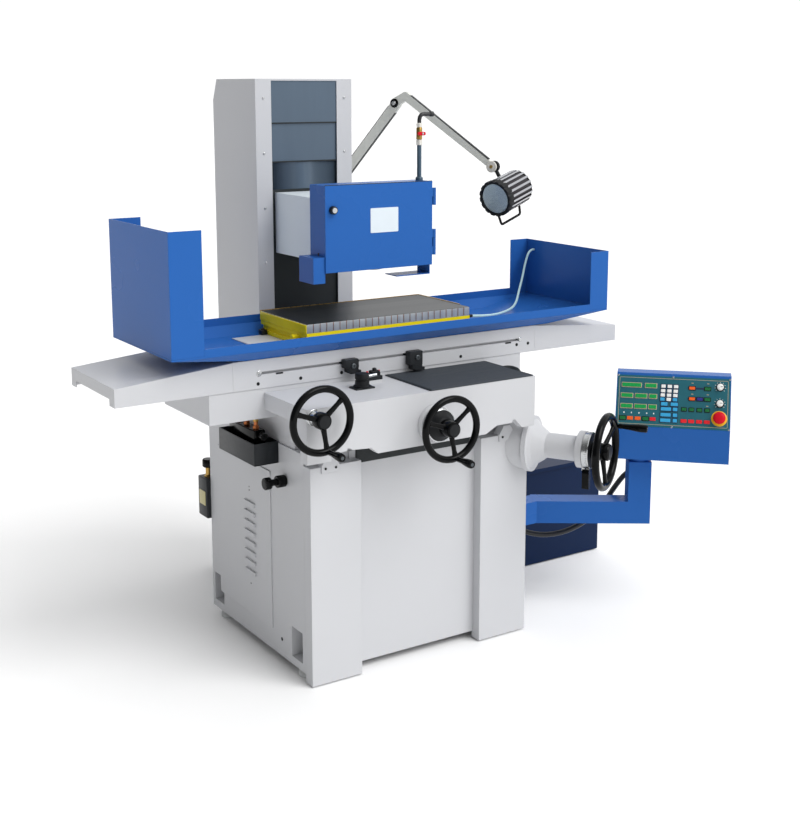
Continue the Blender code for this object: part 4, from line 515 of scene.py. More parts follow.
# Handwheels: the rim circle's radius, the rim's own radius, the hub's radius, and the spokes' angles.
SMALL_WHEEL, SMALL_SPOKES = (0.0895, 0.0105, 0.024), (40, 160, 280)
LARGE_WHEEL, LARGE_SPOKES = (0.1100, 0.0125, 0.027), (35, 155, 275)
SHAFT = 0.010       # the radius of the wheels' shafts
CHUCK_CABLE_ROUTE = (
    (0.3203, 0.262, 1.000), (0.350, 0.262, 1.000), (0.400, 0.262, 0.996), (0.450, 0.275, 0.992),
    (0.520, 0.310, 0.989), (0.600, 0.365, 0.989), (0.670, 0.430, 0.996), (0.720, 0.480, 1.020),
    (0.757, 0.508, 1.065), (0.778, 0.520, 1.110), (0.794, 0.524, 1.145), (0.808, 0.524, 1.158),
    (0.8215, 0.524, 1.160))
CONDUIT_ROUTE = (
    (0.3853, 0.245, 0.400), (0.415, 0.245, 0.398), (0.447, 0.242, 0.375), (0.470, 0.236, 0.330),
    (0.500, 0.226, 0.280), (0.545, 0.208, 0.243), (0.600, 0.180, 0.228), (0.655, 0.150, 0.233),
    (0.705, 0.122, 0.255), (0.750, 0.098, 0.290), (0.790, 0.080, 0.335), (0.822, 0.068, 0.385),
    (0.852, 0.050, 0.432))

# The frame's parts that stay as they are, by finish.
CAD_FINISHES = {
    "enamel_white": ("base_casting", "front_cover", "access_door", "column_cover", "saddle_casting", "saddle_apron",
                     "table_casting", "elevating_housing", "way_cover_left", "way_cover_right"),
    "enamel_grey": ("wheelhead_casting",),
    "enamel_blue": ("wheel_guard", "guard_door", "splash_tray", "guard_left", "guard_right", "console_box",
                    "console_arm"),
    "enamel_navy": ("coolant_tank",),
    "enamel_yellow": ("chuck_body",),
    "steel_slate": ("way_cover_top", "way_cover_middle"),
    "rubber_curtain": ("head_curtain",),
    "rubber_mat": ("apron_mat",),
    "iron_machined": ("column_casting",),
    "steel_turned": ("elevating_screw", "spindle_shaft", "spindle_cartridge", "piston_rod", "hydraulic_cylinder"),
    "abrasive": ("grinding_wheel",),
    "steel_blackened": ("lamp_post",),
    "iron_painted": ("foot_front_left", "foot_front_right", "foot_rear_left", "foot_rear_right"),
    "enamel_lamp": ("lamp_lower_arm", "lamp_upper_arm"),
}


# ---- operators -----------------------------------------------------------------------
class GRINDER_OT_camera_and_stage(bpy.types.Operator):
    """Sets the camera, the soft studio light and the seamless floor"""

    bl_idname = "grinder.camera_and_stage"
    bl_label = "Camera and Stage"

    def execute(self, context):
        scene = context.scene
        self.set_camera(scene)
        self.lay_floor()
        self.light(scene, scene.grinder_stage)
        scene.view_settings.view_transform = "Standard"
        return {"FINISHED"}

    @staticmethod
    def set_camera(scene):
        """A camera a little above the chuck, looking down at the machine from its front left."""
        camera = bpy.data.objects.new("stage_camera", bpy.data.cameras.new("stage_camera"))
        scene.collection.objects.link(camera)
        down, aside = 10.409, 33.010
        camera.location = (-2.23247, -3.53496, 1.73626)
        camera.rotation_euler = (math.radians(90 - down), 0, math.radians(-aside))
        camera.data.sensor_width = 36
        camera.data.lens = 57.831
        camera.data.shift_y = -0.0983
        camera.data.clip_end = 200
        scene.camera = camera

    @staticmethod
    def lay_floor():
        """A seamless floor, just under the feet."""
        half = 60
        outline = [(-half, -half), (half, -half), (half, half), (-half, half)]
        floor = Shape().prism(Matrix.Translation((0, 0, -0.002)), outline, 0.0015, "seamless_paper")
        floor.make("stage_floor")

    @staticmethod
    def light(scene, stage):
        """A broad key light from above the front right, and a room that fills from the right."""
        sun = bpy.data.objects.new("stage_key", bpy.data.lights.new("stage_key", "SUN"))
        sun.data.energy = stage.sun
        sun.data.angle = math.radians(38)
        sun.rotation_euler = Vector((-0.30, 0.62, -0.78)).to_track_quat("-Z", "Y").to_euler()
        scene.collection.objects.link(sun)

        world = bpy.data.worlds.new("studio_room")
        scene.world = world
        world.use_nodes = True
        tree = world.node_tree
        tree.nodes.clear()
        heading = add_node(tree, "ShaderNodeTexCoord")
        split = add_node(tree, "ShaderNodeSeparateXYZ", (), {0: heading.outputs["Generated"]})
        # The room is dim on the left and bright on the right, so that upright faces shade differently.
        side = add_node(tree, "ShaderNodeMapRange",
                        {"From Min": -0.9, "From Max": 0.2, "To Min": 0.16, "To Max": 1.20,
                         "interpolation_type": "SMOOTHSTEP"}, {"Value": split.outputs["X"]})
        strength = add_node(tree, "ShaderNodeMath", {"operation": "MULTIPLY", 1: stage.sky},
                            {0: side.outputs["Result"]})
        room = add_node(tree, "ShaderNodeBackground", {"Color": (1, 1, 1, 1)},
                        {"Strength": strength.outputs["Value"]})
        add_node(tree, "ShaderNodeOutputWorld", (), {"Surface": room.outputs["Background"]})


class GRINDER_OT_cords(bpy.types.Operator):
    """Lays the chuck's cable and the console's conduit along their routes"""

    bl_idname = "grinder.cords"
    bl_label = "Cords"

    def execute(self, context):
        size = sizes()
        line = smooth_line([at(*p) for p in CHUCK_CABLE_ROUTE], 56)
        cable = Shape().tube(line, size.cable, "pvc_pale", 14).make(
            "chuck_cable_jacket", "table", "cable_jacket", ["chuck_cable"])

        end = ARM_END + CONDUIT_OUT * 0.0675 + 0.450 * UP
        route = [at(*p) for p in CONDUIT_ROUTE]
        line = smooth_line([*route, end + 0.020 * CONDUIT_OUT, end + 0.010 * CONDUIT_OUT, end], 44)
        # Corrugations 6 mm apart: rings 3 mm apart, every second one smaller.
        fine = resampled(line, 0.0030)
        conduit = Shape().tube(fine, size.conduit, "pvc_grey", 16, ripple=0.0009).make(
            "console_conduit_hose", None, "rubber", ["console_conduit"])
        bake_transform(conduit)
        for name, body, seat, profile in (
                ("conduit_gland_base", "base", stand(line[0], RIGHT),
                 [(0.015, 0), (0.015, 0.006), (0.0125, 0.010), (0.0115, 0.020)]),
                ("conduit_gland_arm", "console_arm", stand(end, CONDUIT_OUT),
                 [(0.0155, 0), (0.0155, 0.008), (0.0120, 0.012), (0.0115, 0.022)])):
            Shape().turned(seat, profile, "steel_turned", 24).make(name, body, "steel")
        return {"FINISHED"}


class GRINDER_OT_frame_finishes(bpy.types.Operator):
    """Gives every frame part its own finish"""

    bl_idname = "grinder.frame_finishes"
    bl_label = "Frame Finishes"

    def execute(self, context):
        for name, nodes in CAD_FINISHES.items():
            for node in nodes:
                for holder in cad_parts[node].material_slots:
                    holder.material = finish(name)
        return {"FINISHED"}


def wheel_parts(shape, axes, radius, rim, hub, back, front, spokes):
    """Rim, spokes and hub of a moulded handwheel; axes stand on the rim's plane."""
    sides, section = 72, 16
    rings = []
    for i in range(sides):
        turn = 2 * math.pi * i / sides
        rings.append([Vector(((radius + rim * math.cos(a)) * math.cos(turn),
                              (radius + rim * math.cos(a)) * math.sin(turn), rim * 0.98 * math.sin(a)))
                      for a in (2 * math.pi * j / section for j in range(section))])
    shape.loft(axes, rings, "phenolic_gloss", closed=True)
    shape.turned(axes, [(0.0, back), (hub * 0.96, back), (hub, back + 0.003), (hub, front - 0.007),
                        (hub * 0.90, front - 0.003), (hub * 0.80, front - 0.002), (hub * 0.78, front - 0.003)],
                 "phenolic_gloss", 36)
    shape.turned(axes, [(hub * 0.78, front - 0.003), (hub * 0.74, front), (hub * 0.30, front + 0.0012),
                        (0.0, front + 0.0014)], "phenolic_matt", 36)
    middle = (back + front) * 0.45
    for angle in spokes:
        u = Vector((math.cos(math.radians(angle)), math.sin(math.radians(angle)), 0))
        v = UP.cross(u)
        rings = []
        for part, wide, thick in ((0.55 * hub / radius, 0.86, 0.74), (0.45, 0.74, 0.56), (0.72, 0.68, 0.50),
                                  (0.90, 0.84, 0.60), (0.985, 1.15, 0.70)):
            centre = u * radius * part + Vector((0, 0, middle * (1 - part)))
            rings.append([centre + v * rim * wide * math.cos(a) + UP * rim * thick * math.sin(a)
                          for a in (2 * math.pi * j / 16 for j in range(16))])
        shape.loft(axes, rings, "phenolic_gloss")


class GRINDER_OT_handwheels(bpy.types.Operator):
    """Builds the three handwheels, their dials and their revolving grips"""

    bl_idname = "grinder.handwheels"
    bl_label = "Handwheels"

    def execute(self, context):
        table = stand(TABLE_WHEEL, FRONT, RIGHT)
        cross = stand(CROSS_WHEEL, FRONT, RIGHT)
        lift = stand(ELEVATING_WHEEL, ELEVATING_AXIS, ELEVATING_SIDE)
        back = HOUSING_REACH - ELEVATING_REACH
        self.build_table_wheel(table)
        self.build_cross_wheel(cross)
        self.build_elevating_wheel(lift, back)
        self.build_lock_lever(lift, back)
        for grip in (("table_grip_turning", "table_wheel_grip", table, SMALL_WHEEL, SMALL_SPOKES[2], 0.072),
                     ("cross_grip_turning", "cross_wheel_grip", cross, SMALL_WHEEL, SMALL_SPOKES[2], 0.072),
                     ("elevating_grip_turning", "elevating_grip", lift, LARGE_WHEEL, LARGE_SPOKES[0], 0.094)):
            self.build_grip(*grip)
        return {"FINISHED"}

    @staticmethod
    def build_table_wheel(table):
        """The table's handwheel with its shaft and collar."""
        shape = Shape()
        wheel_parts(shape, table, *SMALL_WHEEL, -0.016, 0.018, SMALL_SPOKES)
        shape.turned(table, [(SHAFT, -0.330), (SHAFT, -0.046)], "steel_turned", 20)
        shape.turned(table, [(0.0170, -0.0467), (0.0190, -0.0445), (0.0190, -0.022), (0.0150, -0.0160)],
                     "steel_turned", 32)
        shape.make("table_handwheel_moulding", "table_wheel", "black_plastic", ["table_handwheel"])

    def build_cross_wheel(self, cross):
        """The cross-feed handwheel with its dial, and the screw as its shaft."""
        dial = 0.050
        shape = Shape()
        wheel_parts(shape, cross, *SMALL_WHEEL, -0.030, 0.018, SMALL_SPOKES)
        shape.turned(cross, [(SHAFT, -0.830), (SHAFT, -0.074)], "steel_turned", 20)
        shape.turned(cross, [(0.024, -0.028), (0.030, -0.032), (0.036, -0.044), (0.0465, -0.0500)],
                     "phenolic_matt", 48)
        shape.turned(cross, [(0.0465, -0.0500), (dial, -0.0525), (dial, -0.0735), (0.0, -0.074)],
                     "steel_turned", 64)
        self.graduate(shape, cross, dial, -0.0535)
        shape.make("cross_handwheel_moulding", "cross_wheel", "black_plastic", ["cross_handwheel"])

    def build_elevating_wheel(self, lift, back):
        """The elevating handwheel with its shaft and dial; back is the dial's plane behind the rim."""
        dial = 0.0570
        shape = Shape()
        wheel_parts(shape, lift, *LARGE_WHEEL, -0.042, 0.016, LARGE_SPOKES)
        shape.turned(lift, [(SHAFT, -0.298), (SHAFT, back)], "steel_turned", 20)
        shape.turned(lift, [(0.0, back), (0.0560, back), (dial, back + 0.001), (dial, back + 0.0195),
                            (0.0550, back + 0.021)], "steel_turned", 64)
        shape.turned(lift, [(0.0550, back + 0.021), (0.027, back + 0.0212)], "phenolic_matt", 64)
        self.graduate(shape, lift, dial, back + 0.0185)
        shape.make("elevating_handwheel_moulding", "elevating_wheel", "black_plastic", ["elevating_handwheel"])

    @staticmethod
    def build_lock_lever(lift, back):
        """The lever that locks the elevating dial, on a strap at the housing's end."""
        lock = Shape()
        lock.prism(lift @ Matrix.Translation((0, 0, back - 0.010)),
                   [(-0.007, -0.068), (0.007, -0.068), (0.007, -0.050), (-0.007, -0.050)], 0.009, "steel_turned")
        lock.prism(lift @ Matrix.Translation((0, 0, back - 0.008)),
                   [(-0.009, -0.122), (-0.006, -0.126), (0.006, -0.126), (0.009, -0.122), (0.011, -0.068),
                    (0.008, -0.062), (-0.008, -0.062), (-0.011, -0.068)], 0.022, "phenolic_gloss")
        lock.make("elevating_lock_lever", "base", "black_plastic")

    @staticmethod
    def build_grip(name, node, axes, wheel, angle, length):
        """A revolving grip on a wheel's rim, with the end of its bolt showing."""
        radius, rim = wheel[:2]
        turn = math.radians(angle)
        foot = axes @ Vector((radius * math.cos(turn), radius * math.sin(turn), rim + GAP))
        seat = stand(foot, axes.to_3x3() @ UP)
        shape = Shape()
        shape.turned(seat, [(0.0, 0.0), (0.0060, 0.0), (0.0078, 0.003), (0.0085, 0.006), (0.0080, 0.016),
                            (0.0092, length * 0.40), (0.0116, length * 0.62), (0.0125, length * 0.80),
                            (0.0122, length - 0.006), (0.0105, length - 0.0015), (0.0052, length - 0.0006)],
                     "phenolic_gloss", 32)
        shape.turned(seat, [(0.0052, length - 0.0006), (0.0048, length), (0.0026, length),
                            (0.0, length - 0.0004)], "iron_machined", 32)
        shape.make(name, node, "black_plastic", [node])

    @staticmethod
    def graduate(shape, axes, radius, start):
        """Engraved scale lines round a dial, every fifth one long."""
        length, count = 0.009, 60
        for k in range(count):
            turn = 2 * math.pi * k / count
            reach = length if k % 5 == 0 else length * 0.55
            out = Vector((math.cos(turn), math.sin(turn), 0))
            spot = axes @ (out * (radius - 0.0002) + Vector((0, 0, start - reach / 2)))
            seat = stand(spot, axes.to_3x3() @ out, axes.to_3x3() @ UP)
            shape.slab(seat, reach, 0.0008, 0.0004, "phenolic_matt", 0.0001, 0.0001)


class GRINDER_OT_chuck(bpy.types.Operator):
    """Builds the magnetic chuck's pole plate, stop rails, clamp and cable fitting"""

    bl_idname = "grinder.chuck"
    bl_label = "Magnetic Chuck"

    def execute(self, context):
        pitch = sizes().pole
        x0, x1, y0, y1, low, top = -0.280, 0.320, 0.226, 0.526, 1.010, 1.038
        shape = Shape()
        shape.block((x0 + 0.0008, y0 + 0.0008, low), (x1 - 0.0008, y1 - 0.0008, top - 0.0008),
                    "steel_brushed", 0.0006)
        shape.block((x0 + 0.0012, y0 + 0.0012, top - 0.0009), (x1 - 0.0012, y1 - 0.0012, top),
                    "steel_ground", 0.0004)
        for k in range(1, round((x1 - x0) / pitch)):
            x = x0 + k * pitch
            shape.block((x - 0.0009, y0, low + 0.002), (x + 0.0009, y1, top - 0.0006), "copper", 0.0002)
        for k in range(1, round((y1 - y0) / pitch)):
            y = y0 + k * pitch
            shape.block((x0, y - 0.0009, low + 0.002), (x0 + 0.004, y + 0.0009, top - 0.0006), "copper", 0.0002)
        shape.make("chuck_pole_plate", "table", "steel", ["chuck_plate"])

        cover = Shape()
        cover.block((x0 - 0.0030, y0, low - 0.0002), (x0 - GAP, y1, top - 0.002), "enamel_yellow", 0.0006)
        cover.make("chuck_end_plate", "table", "yellow_paint")

        rails = Shape()
        rails.block((x0, y1 + GAP, low + 0.004), (x1, y1 + 0.005, top + 0.0015), "brass", 0.0006)
        rails.block((x1 + GAP, y0 + 0.060, low + 0.004), (x1 + 0.005, y1 + 0.005, top + 0.0015), "brass", 0.0006)
        for k in range(4):
            seat = stand(at(x1 + 0.005, y0 + 0.080 + 0.068 * k, 1.026), RIGHT)
            rails.screw(seat, 0.0045)
        rails.make("chuck_stop_rails", "table", "steel")

        clamp = Shape()
        clamp.block((-0.352, 0.230, 0.9680), (-0.3005, 0.262, 0.9800), "steel_blackened", 0.0020)
        clamp.block((-0.318, 0.232, 0.9795), (-0.3005, 0.260, 0.9930), "steel_blackened", 0.0025)
        clamp.turned(stand(at(-0.334, 0.246, 0.9795), UP),
                     [(0.0100, 0), (0.0100, 0.010), (0.0085, 0.0125), (0.0, 0.0125)], "steel_blackened", 6)
        clamp.block((x0 - 0.021, 0.480, 0.9680), (x0 - GAP, 0.504, 0.984), "steel_blackened", 0.0015)
        clamp.screw(stand(at(x0 - 0.011, 0.492, 0.984), UP), 0.0065, "steel_blackened")
        clamp.make("chuck_toe_clamps", "table", "black_plastic")

        fitting = Shape()
        seat = stand(at(x1 + GAP, 0.262, 1.000), RIGHT)
        fitting.slab(seat, 0.020, 0.026, 0.010, "phenolic_matt", 0.003, 0.001)
        fitting.turned(seat, [(0.0085, 0.010), (0.0085, 0.018), (0.0065, 0.021), (0.0050, 0.030), (0.0044, 0.036)],
                       "phenolic_matt", 20)
        fitting.make("chuck_cable_fitting", "table", "black_plastic")
        return {"FINISHED"}


class GRINDER_OT_console(bpy.types.Operator):
    """Builds the console's panel, keys, displays, knobs and stop button"""

    bl_idname = "grinder.console"
    bl_label = "Console"

    def face_place(self, s, rise, lift=0.0):
        """Axes on the sloping face: s metres along it, and rise from 0 at its foot to 1 at its top."""
        normal = (FACE_RISE * BOX_OUT + FACE_LEAN * UP).normalized()
        spot = ARM_END + s * BOX_ALONG + FACE_LEAN * (1 - rise) * BOX_OUT + (FACE_FOOT + FACE_RISE * rise) * UP
        return stand(spot + lift * normal, normal, BOX_ALONG)

    def place(self, u, v, lift=0.0):
        """Axes on the panel: u and v run from 0 to 1 along and up it."""
        return self.face_place(-0.079 + PANEL_WIDE * u, 0.006 + 0.950 * v, lift)

    def key(self, shape, u, v, wide, high, name, rim=None):
        """A membrane key, with a printed border if rim names one."""
        seat = self.place(u, v, PANEL_THICK)
        wide, high = wide * PANEL_WIDE, high * PANEL_HIGH
        if rim:
            shape.slab(seat, wide + 0.0045, high + 0.0045, 0.0014, rim, 0.0012, 0.0004)
        shape.slab(seat, wide, high, 0.0030, name, 0.0014, 0.0008)

    def execute(self, context):
        knob_s, button_s = 0.254, 0.253
        knobs = {"feed_knob": self.face_place(knob_s, 0.79), "speed_knob": self.face_place(knob_s, 0.49)}
        button = self.face_place(button_s, 0.22)
        self.build_panel()
        self.build_keys()
        self.build_scales(knobs.values(), button)
        self.build_knobs(knobs)
        self.build_stop(button)
        return {"FINISHED"}

    def build_panel(self):
        """The printed overlay with its border line and its six screws."""
        face = Shape()
        middle = self.place(0.5, 0.5)
        face.slab(middle, 0.362, 0.171, PANEL_THICK, "overlay_teal", 0.003, 0.0003)
        border = [rounded(wide, high, corner, height) for wide, high, corner, height in
                  ((0.350, 0.157, 0.004, 0.0008), (0.350, 0.157, 0.004, 0.0014),
                   (0.3474, 0.1544, 0.003, 0.0014), (0.3474, 0.1544, 0.003, 0.0008))]
        face.loft(middle, border, "overlay_line", closed=True)
        for u in (0.012, 0.495, 0.988):
            for v in (0.018, 0.982):
                face.screw(self.place(u, v, PANEL_THICK), 0.0030)
        face.make("console_panel", "console_box", "blue_paint")

    def build_keys(self):
        """The displays, the membrane keys and the plain marks over them."""
        shape = Shape()
        for v, row in ((0.80, ((0.046, 0.219), (0.2515, 0.354))),
                       (0.593, ((0.042, 0.147), (0.167, 0.271), (0.289, 0.358))),
                       (0.388, ((0.042, 0.1465), (0.1635, 0.270), (0.287, 0.358)))):
            for start, stop in row:
                self.key(shape, (start + stop) / 2, v, stop - start - 0.006, 0.072, "display_green", "overlay_line")
        for u, name in ((0.065, "key_green"), (0.130, "key_orange"), (0.197, "key_orange"), (0.2645, "key_green"),
                        (0.3277, "key_red")):
            self.key(shape, u, 0.155, 0.052, 0.066, name, "phenolic_matt" if name == "key_green" else None)
        for row, v in enumerate((0.800, 0.711, 0.628, 0.547)):
            for column, u in enumerate((0.412, 0.467, 0.522)):
                name = "key_blue" if row == 3 and column != 1 else "key_white"
                self.key(shape, u - 0.002 * row, v, 0.038, 0.062, name, "overlay_navy")
        for v, keys in ((0.457, ((0.424, 0.058), (0.511, 0.062))), (0.360, ((0.440, 0.090), (0.520, 0.040))),
                        (0.248, ((0.439, 0.090), (0.521, 0.038))), (0.142, ((0.438, 0.090), (0.521, 0.036)))):
            for u, wide in keys:
                self.key(shape, u, v, wide, 0.066, "key_blue", "overlay_navy")
        for v, keys in ((0.785, ((0.662, "key_orange"), (0.796, "key_green"))),
                        (0.579, ((0.6635, "key_orange"), (0.7313, "key_indigo"), (0.7966, "key_green")))):
            shape.slab(self.place(0.725, v, PANEL_THICK), 0.074, 0.006, 0.0006, "overlay_navy", 0.002, 0.0002)
            for u, name in keys:
                self.key(shape, u, v, 0.050, 0.058, name, "phenolic_matt")
        for u in (0.597, 0.662, 0.7305, 0.798):
            self.key(shape, u, 0.370, 0.038, 0.058, "key_green", "phenolic_matt")
            self.key(shape, u, 0.146, 0.052, 0.066, "key_red")
        for u in (0.075, 0.140, 0.207, 0.275, 0.335):
            shape.slab(self.place(u, 0.262, PANEL_THICK), 0.0035, 0.0050, 0.0003, "key_white", 0.0008, 0.0001)
        for u, v in ((0.664, 0.885), (0.800, 0.885), (0.664, 0.672), (0.800, 0.672), (0.798, 0.452)):
            shape.slab(self.place(u, v, PANEL_THICK), 0.0075, 0.0022, 0.0003, "overlay_line", 0.0008, 0.0001)
        shape.make("console_keys", "console_box", "black_plastic")

    @staticmethod
    def build_scales(dials, button):
        """The marks and skirts round the knobs, and the yellow disc and collar under the stop button."""
        scales = Shape()
        for middle in dials:
            for k in range(9):
                turn = math.radians(-40 + 260 * k / 8)
                out = Vector((math.cos(turn), math.sin(turn), 0))
                spot = middle @ (out * 0.0165 + PANEL_THICK * UP)
                normal = middle.to_3x3() @ UP
                scales.slab(stand(spot, normal, middle.to_3x3() @ out), 0.0036, 0.0012, 0.0003, "key_white",
                            0.0003, 0.0001)
            scales.turned(middle, [(0.0140, 0.0012), (0.0138, 0.0020), (0.0120, 0.0022)], "phenolic_matt", 32)
        scales.turned(button, [(0.0255, 0.0010), (0.0255, 0.0022), (0.0245, 0.0028), (0.0130, 0.0028),
                               (0.0130, 0.0010)], "acrylic_yellow", 40)
        scales.turned(button, [(0.0085, 0.0010), (0.0085, 0.0050), (0.0080, 0.0055), (0.0, 0.0055)],
                      "phenolic_matt", 32)
        scales.make("console_scales", "console_box", "yellow_paint")

    @staticmethod
    def build_knobs(knobs):
        """The two knurled knobs, each with a pointer and a shaft."""
        for name, seat in knobs.items():
            knob = Shape()
            cap = ((0.0108, 0.0024), (0.0110, 0.0100), (0.0098, 0.0132), (0.0080, 0.0140))
            knob.loft(seat, knurled(cap, 36, 0.05), "key_white")
            knob.slab(seat @ Matrix.Translation((0.0045, 0, 0.0136)), 0.0080, 0.0016, 0.0009, "phenolic_matt",
                      0.0004, 0.0002)
            knob.turned(seat, [(0.0060, -0.012), (0.0060, 0.0026)], "steel_turned", 16)
            knob.make(name + "_cap", name, "steel", [name])

    @staticmethod
    def build_stop(button):
        """The red mushroom head and its stem."""
        stop = Shape()
        stop.turned(button, [(0.0, 0.024), (0.008, 0.0238), (0.0140, 0.0226), (0.0184, 0.0200), (0.0200, 0.0165),
                             (0.0200, 0.0120), (0.0180, 0.0104), (0.0120, 0.0100)], "enamel_red", 40)
        stop.turned(button, [(0.0100, 0.0102), (0.0100, 0.0058), (0.0118, 0.0058), (0.0118, 0.0102)],
                    "phenolic_matt", 32)
        stop.make("stop_button_head", "stop_button", "red_plastic", ["stop_button"])


class GRINDER_OT_lamp(bpy.types.Operator):
    """Builds the machine lamp's finned head, glass, handle and pivot discs"""

    bl_idname = "grinder.lamp"
    bl_label = "Machine Lamp"

    def execute(self, context):
        axes = stand(LAMP_CENTRE, LAMP_AIM, UP)
        self.build_head(axes, LAMP_HALF, LAMP_RADIUS)
        self.build_glass(axes, LAMP_HALF)
        self.build_discs()
        self.build_strips()
        return {"FINISHED"}

    @staticmethod
    def build_head(axes, half, radius):
        """The finned drum with its back, bezel, reflector, bulb, handle and pivot eye."""
        shape = Shape()
        fins = 20
        rings = []
        corners = ((0.00, 0.0), (0.06, 1.0), (0.46, 1.0), (0.52, 0.0))
        for height, reach in ((-half + 0.006, 0.93), (-half + 0.010, 0.955), (half - 0.022, 0.955)):
            rings.append([])
            for k in range(fins):
                for part, fin in corners:
                    turn, out = 2 * math.pi * (k + part) / fins, radius * (reach - 0.065 * (1 - fin))
                    rings[-1].append(Vector((out * math.cos(turn), out * math.sin(turn), height)))
        # Faces down in the grooves between the fins take the dark copy: painted shade.
        bright, dark = shape.index("aluminium_anodised"), shape.index("aluminium_shadow")
        shape.loft(axes, rings, "aluminium_anodised", (True, False))
        shape.mesh.faces.ensure_lookup_table()
        for k, face in enumerate(shape.mesh.faces):
            if len(face.verts) == 4:
                face.material_index = dark if k % 4 in (2, 3) else bright
        shape.turned(axes, [(0.0, -half), (0.040, -half), (0.050, -half + 0.004), (0.056, -half + 0.009)],
                     "aluminium_shadow", 48)
        rings = []
        for height, reach in ((half - 0.026, 0.885), (half - 0.026, 0.985), (half - 0.004, 1.0), (half, 0.975),
                              (half, 0.83), (half - 0.006, 0.80)):
            # The bezel's outside has 16 notches, four points wide and two points apart.
            reaches = [reach if k % 6 < 4 or reach < 0.9 else reach - 0.045 for k in range(96)]
            rings.append([Vector((radius * out * math.cos(2 * math.pi * k / 96),
                                  radius * out * math.sin(2 * math.pi * k / 96), height))
                          for k, out in enumerate(reaches)])
        shape.loft(axes, rings, "phenolic_matt", (False, False))
        shape.turned(axes, [(0.0495, half - 0.006), (0.044, half - 0.016), (0.030, half - 0.027),
                            (0.012, half - 0.033), (0.0, half - 0.034)], "reflector", 48)
        shape.turned(axes, [(0.0060, half - 0.034), (0.0060, half - 0.016), (0.0, half - 0.014)], "nylon_white", 16)
        down = (DOWN + LAMP_AIM * LAMP_AIM.dot(UP)).normalized()
        spot = LAMP_CENTRE + down * (radius - 0.006)
        near, away, drop = half - 0.010, -half + 0.014, 0.040
        bail = ((near, 0.0), (near - 0.010, drop - 0.006), (near - 0.014, drop - 0.001), (near - 0.020, drop),
                (away + 0.010, drop), (away + 0.004, drop - 0.001), (away, drop - 0.006), (away, 0.0))
        shape.tube([spot + ahead * LAMP_AIM + low * down for ahead, low in bail], 0.0042, "phenolic_gloss", 12)
        eye = LAMP_TILT + 0.0116 * LAMP_SIDE
        shape.rod(eye - LAMP_SIDE * 0.0055, eye + LAMP_SIDE * 0.0055, 0.019, "phenolic_matt", 36)
        shape.rod(eye, LAMP_CENTRE, 0.0065, "phenolic_matt", 16)
        shape.make("lamp_head_drum", "lamp_head", "lamp_steel", ["lamp_head"])

    @staticmethod
    def build_glass(axes, half):
        """The clear disc in front of the reflector."""
        glass = Shape()
        glass.turned(axes, [(0.0, half - 0.0058), (0.0495, half - 0.0055), (0.0495, half - 0.0035),
                            (0.030, half - 0.0022), (0.0, half - 0.0018)], "glass_toughened", 48)
        glass.make("lamp_glass", "lamp_head", "lamp_steel")

    @staticmethod
    def build_discs():
        """The knobs and washers on the lamp's joints."""
        for name, spot, reach in (("lamp_shoulder_disc", LAMP_SHOULDER, 0.016),
                                  ("lamp_elbow_disc", LAMP_ELBOW, 0.0155)):
            seat = stand(spot + LAMP_SIDE * 0.0172, LAMP_SIDE)
            disc = Shape()
            disc.turned(seat, [(0.0, 0.0), (reach, 0.0), (reach, 0.003), (reach - 0.003, 0.0046), (0.0075, 0.0046)],
                        "phenolic_gloss", 36)
            disc.turned(seat, [(0.0075, 0.0046), (0.0070, 0.0066), (0.0, 0.0068)], "steel_turned", 24)
            disc.make(name, "lamp_lower_arm", "lamp_steel")
        seat = stand(LAMP_ELBOW - LAMP_SIDE * 0.0056, -LAMP_SIDE)
        disc = Shape()
        disc.turned(seat, [(0.0150, 0.0), (0.0150, 0.004), (0.0120, 0.006), (0.0080, 0.006)], "phenolic_gloss", 36)
        disc.turned(seat, [(0.0080, 0.006), (0.0072, 0.0078), (0.0, 0.0080)], "steel_turned", 24)
        disc.make("lamp_elbow_ring", "lamp_upper_arm", "lamp_steel")
        seat = stand(LAMP_TILT - LAMP_SIDE * 0.0056, -LAMP_SIDE)
        disc = Shape()
        disc.turned(seat, [(0.0185, 0.0), (0.0190, 0.001), (0.0190, 0.004), (0.0175, 0.0055), (0.0060, 0.0058)],
                    "nylon_white", 40)
        disc.turned(seat, [(0.0060, 0.0058), (0.0056, 0.0074), (0.0, 0.0076)], "brass", 24)
        disc.make("lamp_tilt_disc", "lamp_upper_arm", "lamp_steel")

    def build_strips(self):
        """Blackened strips: one on top of the upper arm, and one on each edge of the lower arm."""
        knee = LAMP_ELBOW + 0.042 * LAMP_HEADING + 0.024 * UP
        along, up, length = self.arm_line(knee, LAMP_TILT)
        edge = Shape()
        edge.slab(stand(knee + along * length * 0.49 + up * 0.0125, up, along), length * 0.90, 0.0112, 0.0022,
                  "steel_blackened", 0.001, 0.0004)
        edge.make("lamp_arm_edge", "lamp_upper_arm", "lamp_steel")
        along, up, length = self.arm_line(LAMP_SHOULDER, LAMP_ELBOW)
        edges = Shape()
        for side in (-1, 1):
            spot = LAMP_SHOULDER + 0.0116 * LAMP_SIDE + along * length * 0.5 + side * up * 0.0170
            edges.slab(stand(spot, side * up, along), length * 0.86, 0.0112, 0.0020,
                       "steel_blackened", 0.001, 0.0004)
        edges.make("lamp_lower_arm_edges", "lamp_lower_arm", "lamp_steel")

    @staticmethod
    def arm_line(start, end):
        """An arm's direction, the direction square to it that points up, and its length."""
        along = (end - start).normalized()
        up = LAMP_SIDE.cross(along)
        return along, (-up if up.z < 0 else up), (end - start).length


